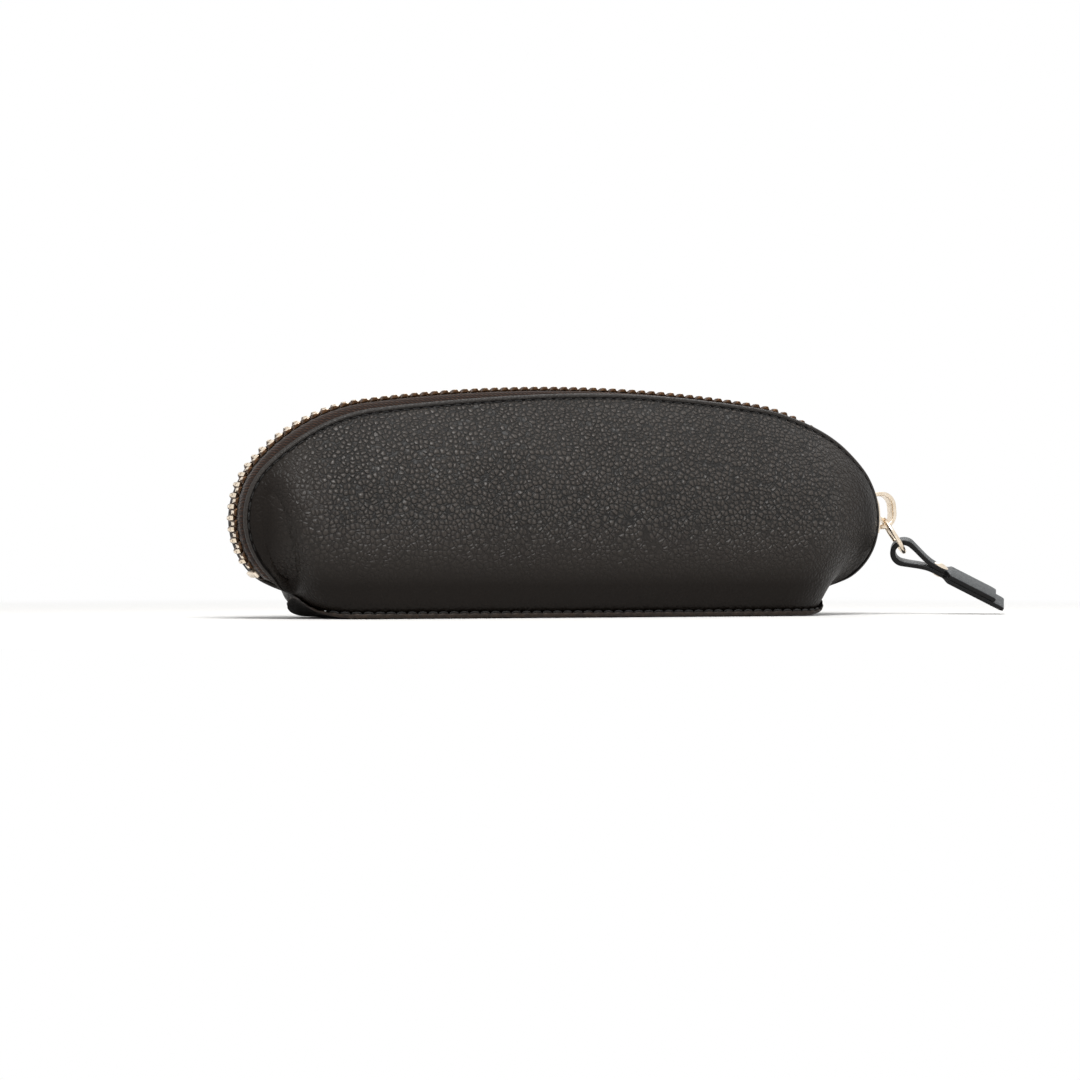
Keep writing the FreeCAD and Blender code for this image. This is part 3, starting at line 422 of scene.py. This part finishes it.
def panelPoint(u, v):
    # back panel's outer face: u from -1 to 1 along the case, v from 0 at the foot to 1 at the hem
    share = abs(u)
    top, normal = zipLine(u * halfArch)
    top -= normal * hemDepth(u)
    top.y = hemOffset(u * halfArch)
    fan = panel["footSpread"]
    foot, outward = footLine(halfFoot * (fan * share + (1 - fan) * share ** 2))
    foot.z -= panel["footSink"]
    if u < 0:
        foot.x, outward.x = -foot.x, -outward.x
    swing = smooth((share - panel["endShare"]) / (1 - panel["endShare"]))
    lean = math.radians(between(panel["footLean"], panel["footLeanEnd"], swing))
    slope = math.radians(between(panel["hemSlope"], panel["hemSlopeEnd"], swing))
    rise = outward * math.sin(lean) + up * math.cos(lean)
    fall = Vector((0, math.cos(slope), 0)) - normal * math.sin(slope)
    chord = (top - foot).length
    fall += ((foot - top) / chord - fall) * intoSeam(u)
    lower = foot + rise * (panel["footPull"] * chord)
    upper = top + fall * (panel["hemPull"] * chord)
    w = 1 - v
    return foot * w ** 3 + lower * (3 * w * w * v) + upper * (3 * w * v * v) + top * v ** 3


def panelNormal(u, v):
    step = 1e-3
    along = panelPoint(min(u + step, 1), v) - panelPoint(max(u - step, -1), v)
    rising = panelPoint(u, min(v + step, 1)) - panelPoint(u, max(v - step, 0))
    return rising.cross(along).normalized()


def layerNormal(u, v):
    # the panels' inner faces stay on their own side of the end seams
    normal = panelNormal(u, v)
    normal.y *= 1 - intoSeam(u)
    return normal.normalized()


def hemShare(u, down):
    # v at a distance below the hem
    chord = (panelPoint(u, 1) - panelPoint(u, 0)).length
    return 1 - down / (3 * panel["hemPull"] * chord)


def relief(point, side, fromHem, fromFoot, calm):
    # how far the soft leather stands off its plain form: hem band and stitch groove
    puffed = smooth(fromHem / hem["puffOver"])
    puffed *= 1 - smooth((fromHem - hem["puffUntil"]) / hem["puffFade"])
    pucker = 1 - hem["pucker"] * (1 - math.cos(2 * math.pi * point.x / base["scallop"]))
    lift = hem["puff"] * puffed
    lift -= hem["grooveDepth"] * pucker * hump(fromHem - hem["line"], hem["grooveWide"])
    # slack between hem and foot
    middle = smooth((fromHem - sag["fromHem"]) / sag["hemFade"]) * smooth(fromFoot / sag["footFade"]) * calm
    sway = 0
    for share, length, height, apart in sag["waves"]:
        sway += share * noise.noise(Vector((point.x / length, side * apart, point.z / height)))
    lift += sag["depth"] * sway * middle
    # the fold at the left end, with a ridge beside it
    past = point.x - fold["x"] - fold["tilt"] * (fold["z"] - point.z)
    folded = smooth(fromFoot / fold["footFade"]) * smooth((fromHem - fold["fromHem"]) / fold["hemFade"])
    lift -= fold["depth"] * hump(past, fold["width"]) * folded
    lift += fold["ridge"] * hump(past - fold["ridgeAway"], fold["ridgeWidth"]) * folded
    # the foot tucked under at the base seam
    return lift - panel["footTuck"] * math.exp(-fromFoot / panel["tuckOver"])


def buildPanel(name, side):
    crowding = panel["crowding"]  # brings the columns closer together at the ends
    steps = spread(-1, 1, panel["columns"])
    columns = [(1 - crowding) * t + crowding * math.sin(t * math.pi / 2) for t in steps]
    half = panel["leather"] / 2
    turnRows = hem["turnRows"]
    points = []
    for u in columns:
        bandStart = hemShare(u, hem["band"])
        shares = spread(0, bandStart, panel["rows"])[:-1]
        shares += spread(bandStart, hemShare(u, half), hem["rows"])
        line = [panelPoint(u, v) for v in shares]
        fromFoot = [0.0]
        for a, b in zip(line, line[1:]):
            fromFoot.append(fromFoot[-1] + (b - a).length)
        calm = 1 - smooth((abs(u) - sag["calmFrom"]) / (1 - sag["calmFrom"]))
        still = 1 - smooth((abs(u) - panel["stillFrom"]) / (1 - panel["stillFrom"]))
        outer, inner = [], []
        for v, point, run in zip(shares, line, fromFoot):
            lift = relief(point, side, fromFoot[-1] - run + half, run, calm) * still
            outer.append(point + panelNormal(u, v) * lift)
            inner.append(point - layerNormal(u, v) * panel["leather"])
        inward = (line[-1] - line[-2]).normalized() * half
        thick = (outer[-1] - inner[-1]) / 2
        middle = (outer[-1] + inner[-1]) / 2
        turns = spread(0, math.pi, turnRows + 2)[1:-1]
        turned = [middle + thick * math.cos(a) + inward * math.sin(a) for a in turns]
        points += outer + turned + inner[::-1]
    rows = len(shares)
    around = 2 * rows + turnRows
    faces = stripFaces(len(columns), around, closedRows=True)
    step = (hem["band"] - half) / (hem["rows"] - 1)
    kinds = []
    for face in faces:
        row = face[0] % around
        fromLine = half + (rows - 1 - row) * step - hem["line"]
        onBand = row < rows + turnRows and fromLine < hem["shadedGrooveHalf"]
        # the stitch groove's rows get the near-black leather, as painted shade
        kinds.append(0 if not onBand else 1 if fromLine < -hem["shadedGrooveHalf"] else 2)
    for start in (0, (len(columns) - 1) * around):
        for j in range(rows - 1):
            faces.append((start + j, start + j + 1, start + around - 2 - j, start + around - 1 - j))
        faces.append(tuple(start + j for j in range(rows - 1, rows + turnRows + 1)))
        kinds += [0] * rows
    return addPiece(name + "_leather", points, faces, [pebbledCalf, hemCalf, grooveShadeCalf], "case",
                    [name], side, kinds)


buildPanel("back_panel", 1)
buildPanel("front_panel", -1)
print("panels made")


# the zip's tapes: flat beside the teeth, then sloping down under the panels
def tapeLine():
    # the tape's middle in cross-section (out from the mid-line, height over it)
    hemSlope = math.radians(panel["hemSlope"])
    bend, ease, steps = zipper["tapeBend"], zipper["bendEase"], zipper["steps"]
    lipOut = panel["hemGap"] - panel["leather"] * math.sin(hemSlope) - bend
    lipDrop = hem["drop"] + panel["leather"] * math.cos(hemSlope)
    clear = zipper["tapeGap"] + zipper["tape"] / 2
    lip = math.hypot(lipOut, lipDrop)
    slope = math.atan2(lipDrop, lipOut) + math.asin(clear / lip)
    reach = math.sqrt(lip ** 2 - clear ** 2) + zipper["tapeUnder"]
    line = [(y, 0.0) for y in spread(zipper["tapeEdge"], bend - ease, steps)]
    line += [(bend + d * math.cos(slope), -d * math.sin(slope)) for d in spread(ease, reach, steps)]
    return line


def buildTape(name, side):
    line = tapeLine()
    half = zipper["tape"] / 2
    rounded = half * zipper["edgeRound"]
    upper, lower = [], []
    for i, (y, h) in enumerate(line):
        tangent = directionAt(line, i)
        upper.append((y - tangent.y * half, h + tangent.x * half))
        lower.append((y + tangent.y * half, h - tangent.x * half))
    tail = zipPlace(-zipper["tailEnd"])
    columns = spread(-tail, leftTapeEnd, zipper["leftColumns"])[:-1]
    columns += spread(leftTapeEnd, rightTapeEnd, zipper["columns"])
    columns += spread(rightTapeEnd, tail, zipper["rightColumns"])[1:]
    edge = zipper["tapeEdge"] - rounded
    section = upper[::-1] + [(edge, rounded), (edge, -rounded)] + lower
    points = []
    for place in columns:
        point, normal = zipLine(place)
        closing = hemOffset(place) / hemOffset(min(max(place, leftTapeEnd), rightTapeEnd))
        point -= normal * zipper["tailDip"] * smooth((1 - closing) / zipper["dipOver"])
        points += [point + Vector((0, y * closing, 0)) + normal * h for y, h in section]
    around = len(section)
    faces = stripFaces(len(columns), around, closedRows=True)
    for start in (0, (len(columns) - 1) * around):
        for j in range(around // 2 - 1):
            faces.append((start + j, start + j + 1, start + around - 2 - j, start + around - 1 - j))
    return addPiece(name + "_twill", points, faces, [zipTwill], "case", [name], side)


buildTape("back_zip_tape", 1)
buildTape("front_zip_tape", -1)
print("tapes made")


# the zip's teeth: two roofs that clamp the tape, a waist between them and a head for the other row
tooth = {"height": 1.4, "reach": 2.9, "head": 0.75, "headHeight": 0.9, "headWidth": 1.2, "foot": 2.1,
         "ridge": 0.7, "clearance": 0.2, "bevel": 0.2, "stopLength": 1.7, "stopGap": 0.6, "litFacingUp": 0.5,
         "litFacingSide": 0.6}
slider = {"rest": 5, "span": 30, "dividerSpan": 7, "dividerGap": 1.5}  # degrees round the arch's right end
lastAngle = slider["rest"] - slider["span"] / 2 + slider["dividerSpan"] + slider["dividerGap"]
lastTooth = zipPlace(lastAngle + math.degrees(tooth["foot"] / 2 / arch["endRadius"]))
firstTooth = leftTapeEnd + tooth["stopLength"] + tooth["stopGap"] + tooth["foot"] / 2


def prism(mesh, corners, push):
    near = [mesh.verts.new(c) for c in corners]
    far = [mesh.verts.new(c + push) for c in corners]
    mesh.faces.new(near[::-1])
    mesh.faces.new(far)
    for i in range(len(corners)):
        after = (i + 1) % len(corners)
        mesh.faces.new((near[i], near[after], far[after], far[i]))


def toothMesh():
    # x along the zip, y out over the tape, z outwards
    mesh = bmesh.new()
    foot, ridge, top = tooth["foot"] / 2, tooth["ridge"] / 2, tooth["height"]
    slot = zipper["tape"] / 2 + tooth["clearance"]
    neck = zipper["tapeEdge"] - tooth["clearance"]
    shoulder = tooth["head"] + tooth["clearance"]
    roof = ((-foot, slot), (foot, slot), (ridge, top), (-ridge, top))
    clamp = Vector((0, tooth["reach"] - shoulder, 0))
    for s in (1, -1):
        prism(mesh, [Vector((x, shoulder, s * z)) for x, z in roof], clamp)
    waist = ((-foot, -slot), (foot, -slot), (foot, slot), (-foot, slot))
    prism(mesh, [Vector((x, shoulder, z)) for x, z in waist], Vector((0, neck - shoulder, 0)))
    half, tip, low = tooth["headWidth"] / 2, -tooth["head"], tooth["headHeight"]
    blade = ((tip, -low), (neck, -top), (neck, top), (tip, low))
    prism(mesh, [Vector((-half, y, z)) for y, z in blade], Vector((2 * half, 0, 0)))
    bmesh.ops.recalc_face_normals(mesh, faces=mesh.faces)
    bmesh.ops.bevel(mesh, geom=mesh.edges[:], offset=tooth["bevel"], segments=2, profile=0.5,
                    affect="EDGES", clamp_overlap=True)
    points = [v.co.copy() for v in mesh.verts]
    faces = [tuple(v.index for v in f.verts) for f in mesh.faces]
    # faces that face outwards keep the pale gold, the rest get the brown copy as painted shade
    pale = [f.normal.z > tooth["litFacingUp"] and abs(f.normal.x) < tooth["litFacingSide"] for f in mesh.faces]
    mesh.free()
    return points, faces, [0 if p else 1 for p in pale]


def buildTeeth(name, side, shift):
    onePoints, oneFaces, oneKinds = toothMesh()
    points, faces, kinds = [], [], []
    for i in range(int((lastTooth - firstTooth - shift) / zipper["pitch"]) + 1):
        point, normal = zipLine(lastTooth - shift - i * zipper["pitch"])
        along = Vector((0, 1, 0)).cross(normal)
        start = len(points)
        points += [point + along * p.x + Vector((0, p.y, 0)) + normal * p.z for p in onePoints]
        faces += [tuple(start + k for k in f) for f in oneFaces]
        kinds += oneKinds
    return addPiece(name + "_stamped", points, faces, [toothMetal, toothSideShade], "case",
                    [name], side, kinds, sharp=50)


buildTeeth("front_zip_teeth", -1, 0)
buildTeeth("back_zip_teeth", 1, zipper["pitch"] / 2)
print("teeth made")


# the base: a leather sole with curled ends and a painted, stitched rim
def perimeter(out):
    # points round the sole, each with its run along a quarter of the outline
    spots = []
    for mirrorX, mirrorY in ((1, 1), (1, -1), (-1, -1), (-1, 1)):
        runs = spread(0, halfFoot + panel["seamGap"], base["quarter"])
        if mirrorX * mirrorY < 0:
            runs = runs[::-1]
        for run in runs[:-1]:
            point, _ = footLine(run, out)
            spots.append((Vector((point.x * mirrorX, point.y * mirrorY, 0)), run))
    return spots


def buildBase():
    # how far in from the edge, and how far down, the rounded rim goes
    quarter = [(0.9, 0.0), (0.45, 0.0), (0.16, 0.06), (0.03, 0.22)]
    rim = quarter + [(0.0, 0.5)] + [(inset, 1 - depth) for inset, depth in quarter[::-1]]
    rings = [(base["inside"], squeeze, 0.0) for squeeze in base["rings"]]
    rings += [(inset, 1.0, depth) for inset, depth in rim]
    rings += [(base["inside"], squeeze, 1.0) for squeeze in base["rings"][::-1]]
    grid = [(perimeter(base["rim"] - inset), squeeze, depth) for inset, squeeze, depth in rings]
    across = len(grid)
    around = len(grid[0][0])
    points = []
    for i in range(around):
        for spots, squeeze, depth in grid:
            spot, run = spots[i]
            wave = math.cos(2 * math.pi * run / base["scallop"])
            onRim = 1.0 if squeeze == 1.0 else 0.0
            curled = smooth((abs(spot.x) - base["flat"]) / base["curlReach"])
            z = between(base["thickness"], base["thinning"] * curled, depth)
            z += baseLift(spot.x, spot.y * squeeze)
            pulled = base["scallopPull"] * wave * onRim * (1 - abs(2 * depth - 1))
            dip = base["scallopDip"] * (wave - 1) * onRim * (1 - depth)
            inX = max(min(spot.x, footSide), -footSide)
            inY = max(min(spot.y, footEnd), -footEnd)
            away = Vector((spot.x - inX, spot.y - inY, 0))
            away = away.normalized() if away.length > 0.01 else Vector((0, 0, 0))
            points.append(Vector((spot.x + away.x * pulled, spot.y * squeeze + away.y * pulled, z + dip)))
    faces = stripFaces(around, across, closedColumns=True)
    first, last = base["painted"]
    kinds = [1 if first <= face[0] % across <= last else 0 for face in faces]
    return addPiece("base_panel_sole", points, faces, [smoothCalf, soleEdge], "case",
                    ["base_panel"], kinds=kinds)


buildBase()
print("base made")


# stitches: waxed thread that rises out of one hole and dips into the next
stitch = {"radius": 0.21, "length": 2.3, "pitch": 2.8, "rise": 1.5, "thin": 0.55, "twist": 0.5,
          "hemSink": 0.3, "baseLine": 0.8, "baseRise": 0.05, "baseTurn": 50, "sides": 8, "rings": 9}


def stitchTube(points, faces, start, stop, outward):
    side = (stop - start).normalized().cross(outward).normalized()
    first = len(points)
    sides, rings = stitch["sides"], stitch["rings"]
    for t in spread(0, 1, rings):
        arc = math.sin(math.pi * t) ** 0.5
        middle = start.lerp(stop, t) + outward * (stitch["radius"] * (stitch["rise"] * arc - 1.0))
        girth = stitch["radius"] * between(stitch["thin"], 1, arc)
        for k in range(sides):
            a = 2 * math.pi * k / sides + stitch["twist"] * t
            points.append(middle + (side * math.cos(a) + outward * math.sin(a)) * girth)
    for face in stripFaces(rings, sides, closedRows=True):
        faces.append(tuple(first + k for k in face))
    faces.append(tuple(first + k for k in range(sides))[::-1])
    faces.append(tuple(first + (rings - 1) * sides + k for k in range(sides)))


def stitchEnds(first, last):
    # as many whole stitches as fit, set in the middle
    count = int((last - first) / stitch["pitch"])
    start = (first + last - count * stitch["pitch"]) / 2
    middles = [start + (i + 0.5) * stitch["pitch"] for i in range(count)]
    return [(m - stitch["length"] / 2, m + stitch["length"] / 2) for m in middles]


def hemSpot(place):
    u = place / halfArch
    v = hemShare(u, hem["line"])
    normal = panelNormal(u, v)
    return panelPoint(u, v) - normal * stitch["hemSink"], normal


def rimSpot(along, mirrorY):
    point, _ = footLine(abs(along), stitch["baseLine"])
    return Vector((math.copysign(point.x, along), point.y * mirrorY, point.z + stitch["baseRise"]))


def buildHemThread(name, side):
    points, faces = [], []
    for first, last in stitchEnds(leftTapeEnd + 2 * stitch["pitch"], rightTapeEnd):
        start, normal = hemSpot(first)
        stop, after = hemSpot(last)
        stitchTube(points, faces, start, stop, (normal + after).normalized())
    return addPiece(name + "_waxed", points, faces, [waxedThread], "case", [name], side)


def buildBaseThread():
    points, faces = [], []
    end = footSide + panel["footCorner"] * math.radians(stitch["baseTurn"])
    for mirrorY in (1, -1):
        for first, last in stitchEnds(-end, end):
            stitchTube(points, faces, rimSpot(first, mirrorY), rimSpot(last, mirrorY), up)
    return addPiece("base_seam_thread_waxed", points, faces, [waxedThread], "case",
                    ["base_seam_thread"])


buildHemThread("back_hem_thread", 1)
buildHemThread("front_hem_thread", -1)
buildBaseThread()
print("stitches made")


# stamped and cast metal: the solids with their edges broken
# flatter edges are taken out and sharper ones broken, both in degrees
easing = {"flatter": 1.5, "sharper": 28, "segments": 3, "sharp": 35}


def easeEdges(node, name, width, material, body):
    shape = bmesh.new()
    shape.from_mesh(nodes[node].data)
    bmesh.ops.remove_doubles(shape, verts=shape.verts, dist=2e-6)
    bmesh.ops.dissolve_limit(shape, angle_limit=math.radians(easing["flatter"]), verts=shape.verts,
                             edges=shape.edges)
    sharper = math.radians(easing["sharper"])
    creased = [e for e in shape.edges if e.is_manifold and e.calc_face_angle(0) > sharper]
    bmesh.ops.bevel(shape, geom=creased, offset=width * mm, segments=easing["segments"], profile=0.5,
                    affect="EDGES", clamp_overlap=True)
    mesh = bpy.data.meshes.new(name)
    shape.to_mesh(mesh)
    shape.free()
    mesh.materials.append(material)
    return finishPiece(name, mesh, body, [node], easing["sharp"])


easeEdges("slider_body", "slider_body_cast", 0.22, paleGold, "slider")
easeEdges("slider_bail", "slider_bail_cast", 0.3, paleGold, "slider")
easeEdges("puller_rivet", "puller_rivet_turned", 0.12, paleGold, "puller")
easeEdges("zip_top_stops", "zip_top_stops_clamped", 0.15, toothMetal, "case")
easeEdges("zip_bottom_stop", "zip_bottom_stop_clamped", 0.18, toothMetal, "case")
print("metal eased")


# the ring: round wire, bent and butted, with a hairline joint
ring = {"radius": 5.3, "wire": 0.6, "hang": 57, "hook": (92.8377, 0, 25.2912), "turn": 22,
        "jointAt": 0.3, "jointDepth": 0.14, "jointWidth": 0.12, "around": 120, "sides": 24}
ringTurn = math.radians(ring["turn"])
ringRight = Vector((math.cos(ringTurn), -math.sin(ringTurn), 0))
ringDeep = Vector((math.sin(ringTurn), math.cos(ringTurn), 0))


def hanging(angle):
    return ringRight * math.cos(math.radians(angle)) - up * math.sin(math.radians(angle))


def buildRing():
    down = hanging(ring["hang"])
    centre = Vector(ring["hook"]) + down * ring["radius"]
    axis = down.cross(ringDeep)
    points = []
    for t in spread(0, 1, ring["around"] + 1)[:-1]:
        a = 2 * math.pi * t
        outward = down * math.cos(a) + ringDeep * math.sin(a)
        fromJoint = (t - ring["jointAt"]) * 2 * math.pi * ring["radius"]
        wire = ring["wire"] * (1 - ring["jointDepth"] * hump(fromJoint, ring["jointWidth"]))
        for k in range(ring["sides"]):
            b = 2 * math.pi * k / ring["sides"]
            away = outward * (ring["radius"] + wire * math.cos(b))
            points.append(centre + away + axis * wire * math.sin(b))
    faces = stripFaces(ring["around"], ring["sides"], closedRows=True, closedColumns=True)
    return addPiece("pull_ring_wire", points, faces, [paleGold], "ring", ["pull_ring"])


buildRing()
print("ring made")


# the puller: one strap folded round the ring, legs glued and riveted
puller = {"hang": 27, "roll": 15, "strap": 1.2, "loopStrap": 1.4, "loopUntil": 3, "eye": 2.2, "close": 8,
          "settle": 1.2, "loopHalf": 2.2, "neck": 12, "flare": 1.8, "tabHalf": 5.5, "upper": 27,
          "lower": 30, "round": 0.28, "cornerSteps": 5, "belly": 0.07, "tipEase": 0.35, "tipReach": 0.8,
          "pressed": 0.985, "upperSteps": 34, "slopeSteps": 12, "loopSteps": 40, "lowerSteps": 38}
ringEnd = Vector(ring["hook"]) + hanging(ring["hang"]) * (2 * ring["radius"])
strapAlong = hanging(puller["hang"])
strapUp = strapAlong.cross(ringDeep)
rolled = math.radians(puller["roll"])
strapAcross = ringDeep * math.cos(rolled) + strapUp * math.sin(rolled)
strapOut = strapAlong.cross(strapAcross)


def strapPath():
    # the strap's middle line (along, out) from the upper leg's end, round the ring, to the lower leg's end
    half = puller["strap"] / 2
    radius = puller["eye"] + puller["loopStrap"] / 2
    settled = puller["close"] + puller["settle"]
    opening = math.atan2(half, puller["close"]) + math.acos(radius / math.hypot(puller["close"], half))
    upper = [(x, half) for x in spread(puller["upper"], settled, puller["upperSteps"])]
    turns = spread(opening, 2 * math.pi - opening, puller["loopSteps"])
    loop = [(radius * math.cos(a), radius * math.sin(a)) for a in turns]
    lower = [(x, -half) for x in spread(settled, puller["lower"], puller["lowerSteps"])]
    slope = []
    for t in spread(0, 1, puller["slopeSteps"])[1:-1]:
        slope.append((between(settled, loop[0][0], t), between(half, loop[0][1], t * t * (2 - t))))
    return upper + slope + loop + [(x, -z) for x, z in slope[::-1]] + lower


def strapSection(wide, half):
    # a flat section with rounded corners (across, out)
    radius = puller["round"]
    corner = spread(0, math.pi / 2, puller["cornerSteps"])
    section = []
    for sy, sz in ((1, 1), (-1, 1), (-1, -1), (1, -1)):
        for a in corner if sy * sz > 0 else corner[::-1]:
            y = sy * (wide - radius + radius * math.cos(a))
            h = sz * (half - radius + radius * math.sin(a)) * puller["pressed"]
            section.append((y, h))
    return section


def buildPuller():
    path = strapPath()
    points = []
    for i, (x, z) in enumerate(path):
        tangent = directionAt(path, i)
        out = Vector((tangent.y, -tangent.x))
        flared = smooth((x - puller["neck"]) / puller["flare"])
        wide = between(puller["loopHalf"], puller["tabHalf"], flared)
        half = between(puller["loopStrap"], puller["strap"], smooth(x / puller["loopUntil"])) / 2
        fromTip = min(i, len(path) - 1 - i)
        half *= 1 - puller["tipEase"] * math.exp(-fromTip / puller["tipReach"])
        belly = 0 if abs(x) < puller["close"] else puller["belly"]
        for y, h in strapSection(wide, half):
            h += belly * (1 - (y / wide) ** 2) if h > 0 else 0
            spot = ringEnd + strapAlong * (x + out.x * h) + strapOut * (z + out.y * h)
            points.append(spot + strapAcross * y)
    sides = len(points) // len(path)
    faces = stripFaces(len(path), sides, closedRows=True)
    flats = (puller["cornerSteps"] - 1, 3 * puller["cornerSteps"] - 1)
    kinds = [0 if face[0] % sides in flats else 1 for face in faces]
    faces.append(tuple(range(sides)))
    faces.append(tuple((len(path) - 1) * sides + k for k in range(sides)))
    kinds += [1, 1]
    return addPiece("puller_strap_folded", points, faces, [strapCalf, strapEdge], "puller",
                    ["puller_strap"], kinds=kinds)


buildPuller()
print("puller made")

# pieces inside the case keep their solids
inside = {"base_board": greyBoard, "base_lining": liningDrill, "front_lining": liningDrill,
          "back_lining": liningDrill}
for node, material in inside.items():
    nodes[node].data.materials.clear()
    nodes[node].data.materials.append(material)


# studio, in metres: a pale floor that runs out into a white surround, a broad lamp overhead,
# weak ones at the left and behind
studio = {"floor": "#f4f3f1", "reach": 4.0, "drop": 0.0002, "shadowReach": 0.16, "whiteFrom": 0.34,
          "world": 0.28, "aim": (0, 0, 0.03)}
lamps = {"keyLamp": {"place": (-0.1, -0.42, 0.78), "width": 0.5, "power": 8.5},
         "leftLamp": {"place": (-0.8, -0.3, 0.4), "width": 0.4, "power": 0.2},
         "backLamp": {"place": (0.4, 0.7, 0.6), "width": 0.5, "power": 1.2}}


def seenDirectly(tree):
    # 1 where the eye, a mirror or a glass looks at a surface
    ray = addNode(tree, "LightPath").outputs
    eye, mirror, glass = ray["Is Camera Ray"], ray["Is Glossy Ray"], ray["Is Transmission Ray"]
    either = addNode(tree, "Math", links={0: eye, 1: mirror}, operation="MAXIMUM")
    return addNode(tree, "Math", links={0: either, 1: glass}, operation="MAXIMUM")


floorMesh = bpy.data.meshes.new("floor")
reach = studio["reach"]
floorCorners = [(x * reach, y * reach, 0) for x, y in ((-1, -1), (1, -1), (1, 1), (-1, 1))]
floorMesh.from_pydata(floorCorners, [], [(0, 1, 2, 3)])
floor = bpy.data.objects.new("floor", floorMesh)
floor.location.z = -studio["drop"]
scene.collection.objects.link(floor)

# matt floor paint: keeps the shadow near the case and turns to plain white further off
floorPaint, tree, shader, place = newMaterial("floorPaintMatt")
setNode(tree, shader, {"Base Color": linear(studio["floor"]), "Roughness": 0.7,
                       "Specular IOR Level": 0.2}, {})
far = addNode(tree, "VectorMath", links={0: place}, operation="LENGTH").outputs["Value"]
paper = addNode(tree, "MapRange", {1: studio["shadowReach"], 2: studio["whiteFrom"]}, {0: far})
share = addNode(tree, "Math", links={0: paper, 1: seenDirectly(tree)}, operation="MULTIPLY")
white = addNode(tree, "Emission", {"Color": (1, 1, 1, 1), "Strength": 1.0})
joined = addNode(tree, "MixShader", links={0: share, 1: shader, 2: white})
setNode(tree, tree.nodes["Material Output"], {}, {"Surface": joined})
floorMesh.materials.append(floorPaint)

world = bpy.data.worlds.new("studio")
scene.world = world
world.use_nodes = True
tree = world.node_tree
strength = addNode(tree, "MapRange", {3: studio["world"], 4: 1.0}, {0: seenDirectly(tree)})
setNode(tree, tree.nodes["Background"], {"Color": (1, 1, 1, 1)}, {"Strength": strength})

for name, made in lamps.items():
    data = bpy.data.lights.new(name, "AREA")
    data.size = made["width"]
    data.energy = made["power"]
    lamp = bpy.data.objects.new(name, data)
    scene.collection.objects.link(lamp)
    lamp.location = made["place"]
    aim = Vector(studio["aim"]) - Vector(made["place"])
    lamp.rotation_euler = aim.to_track_quat("-Z", "Y").to_euler()
print("studio lit")
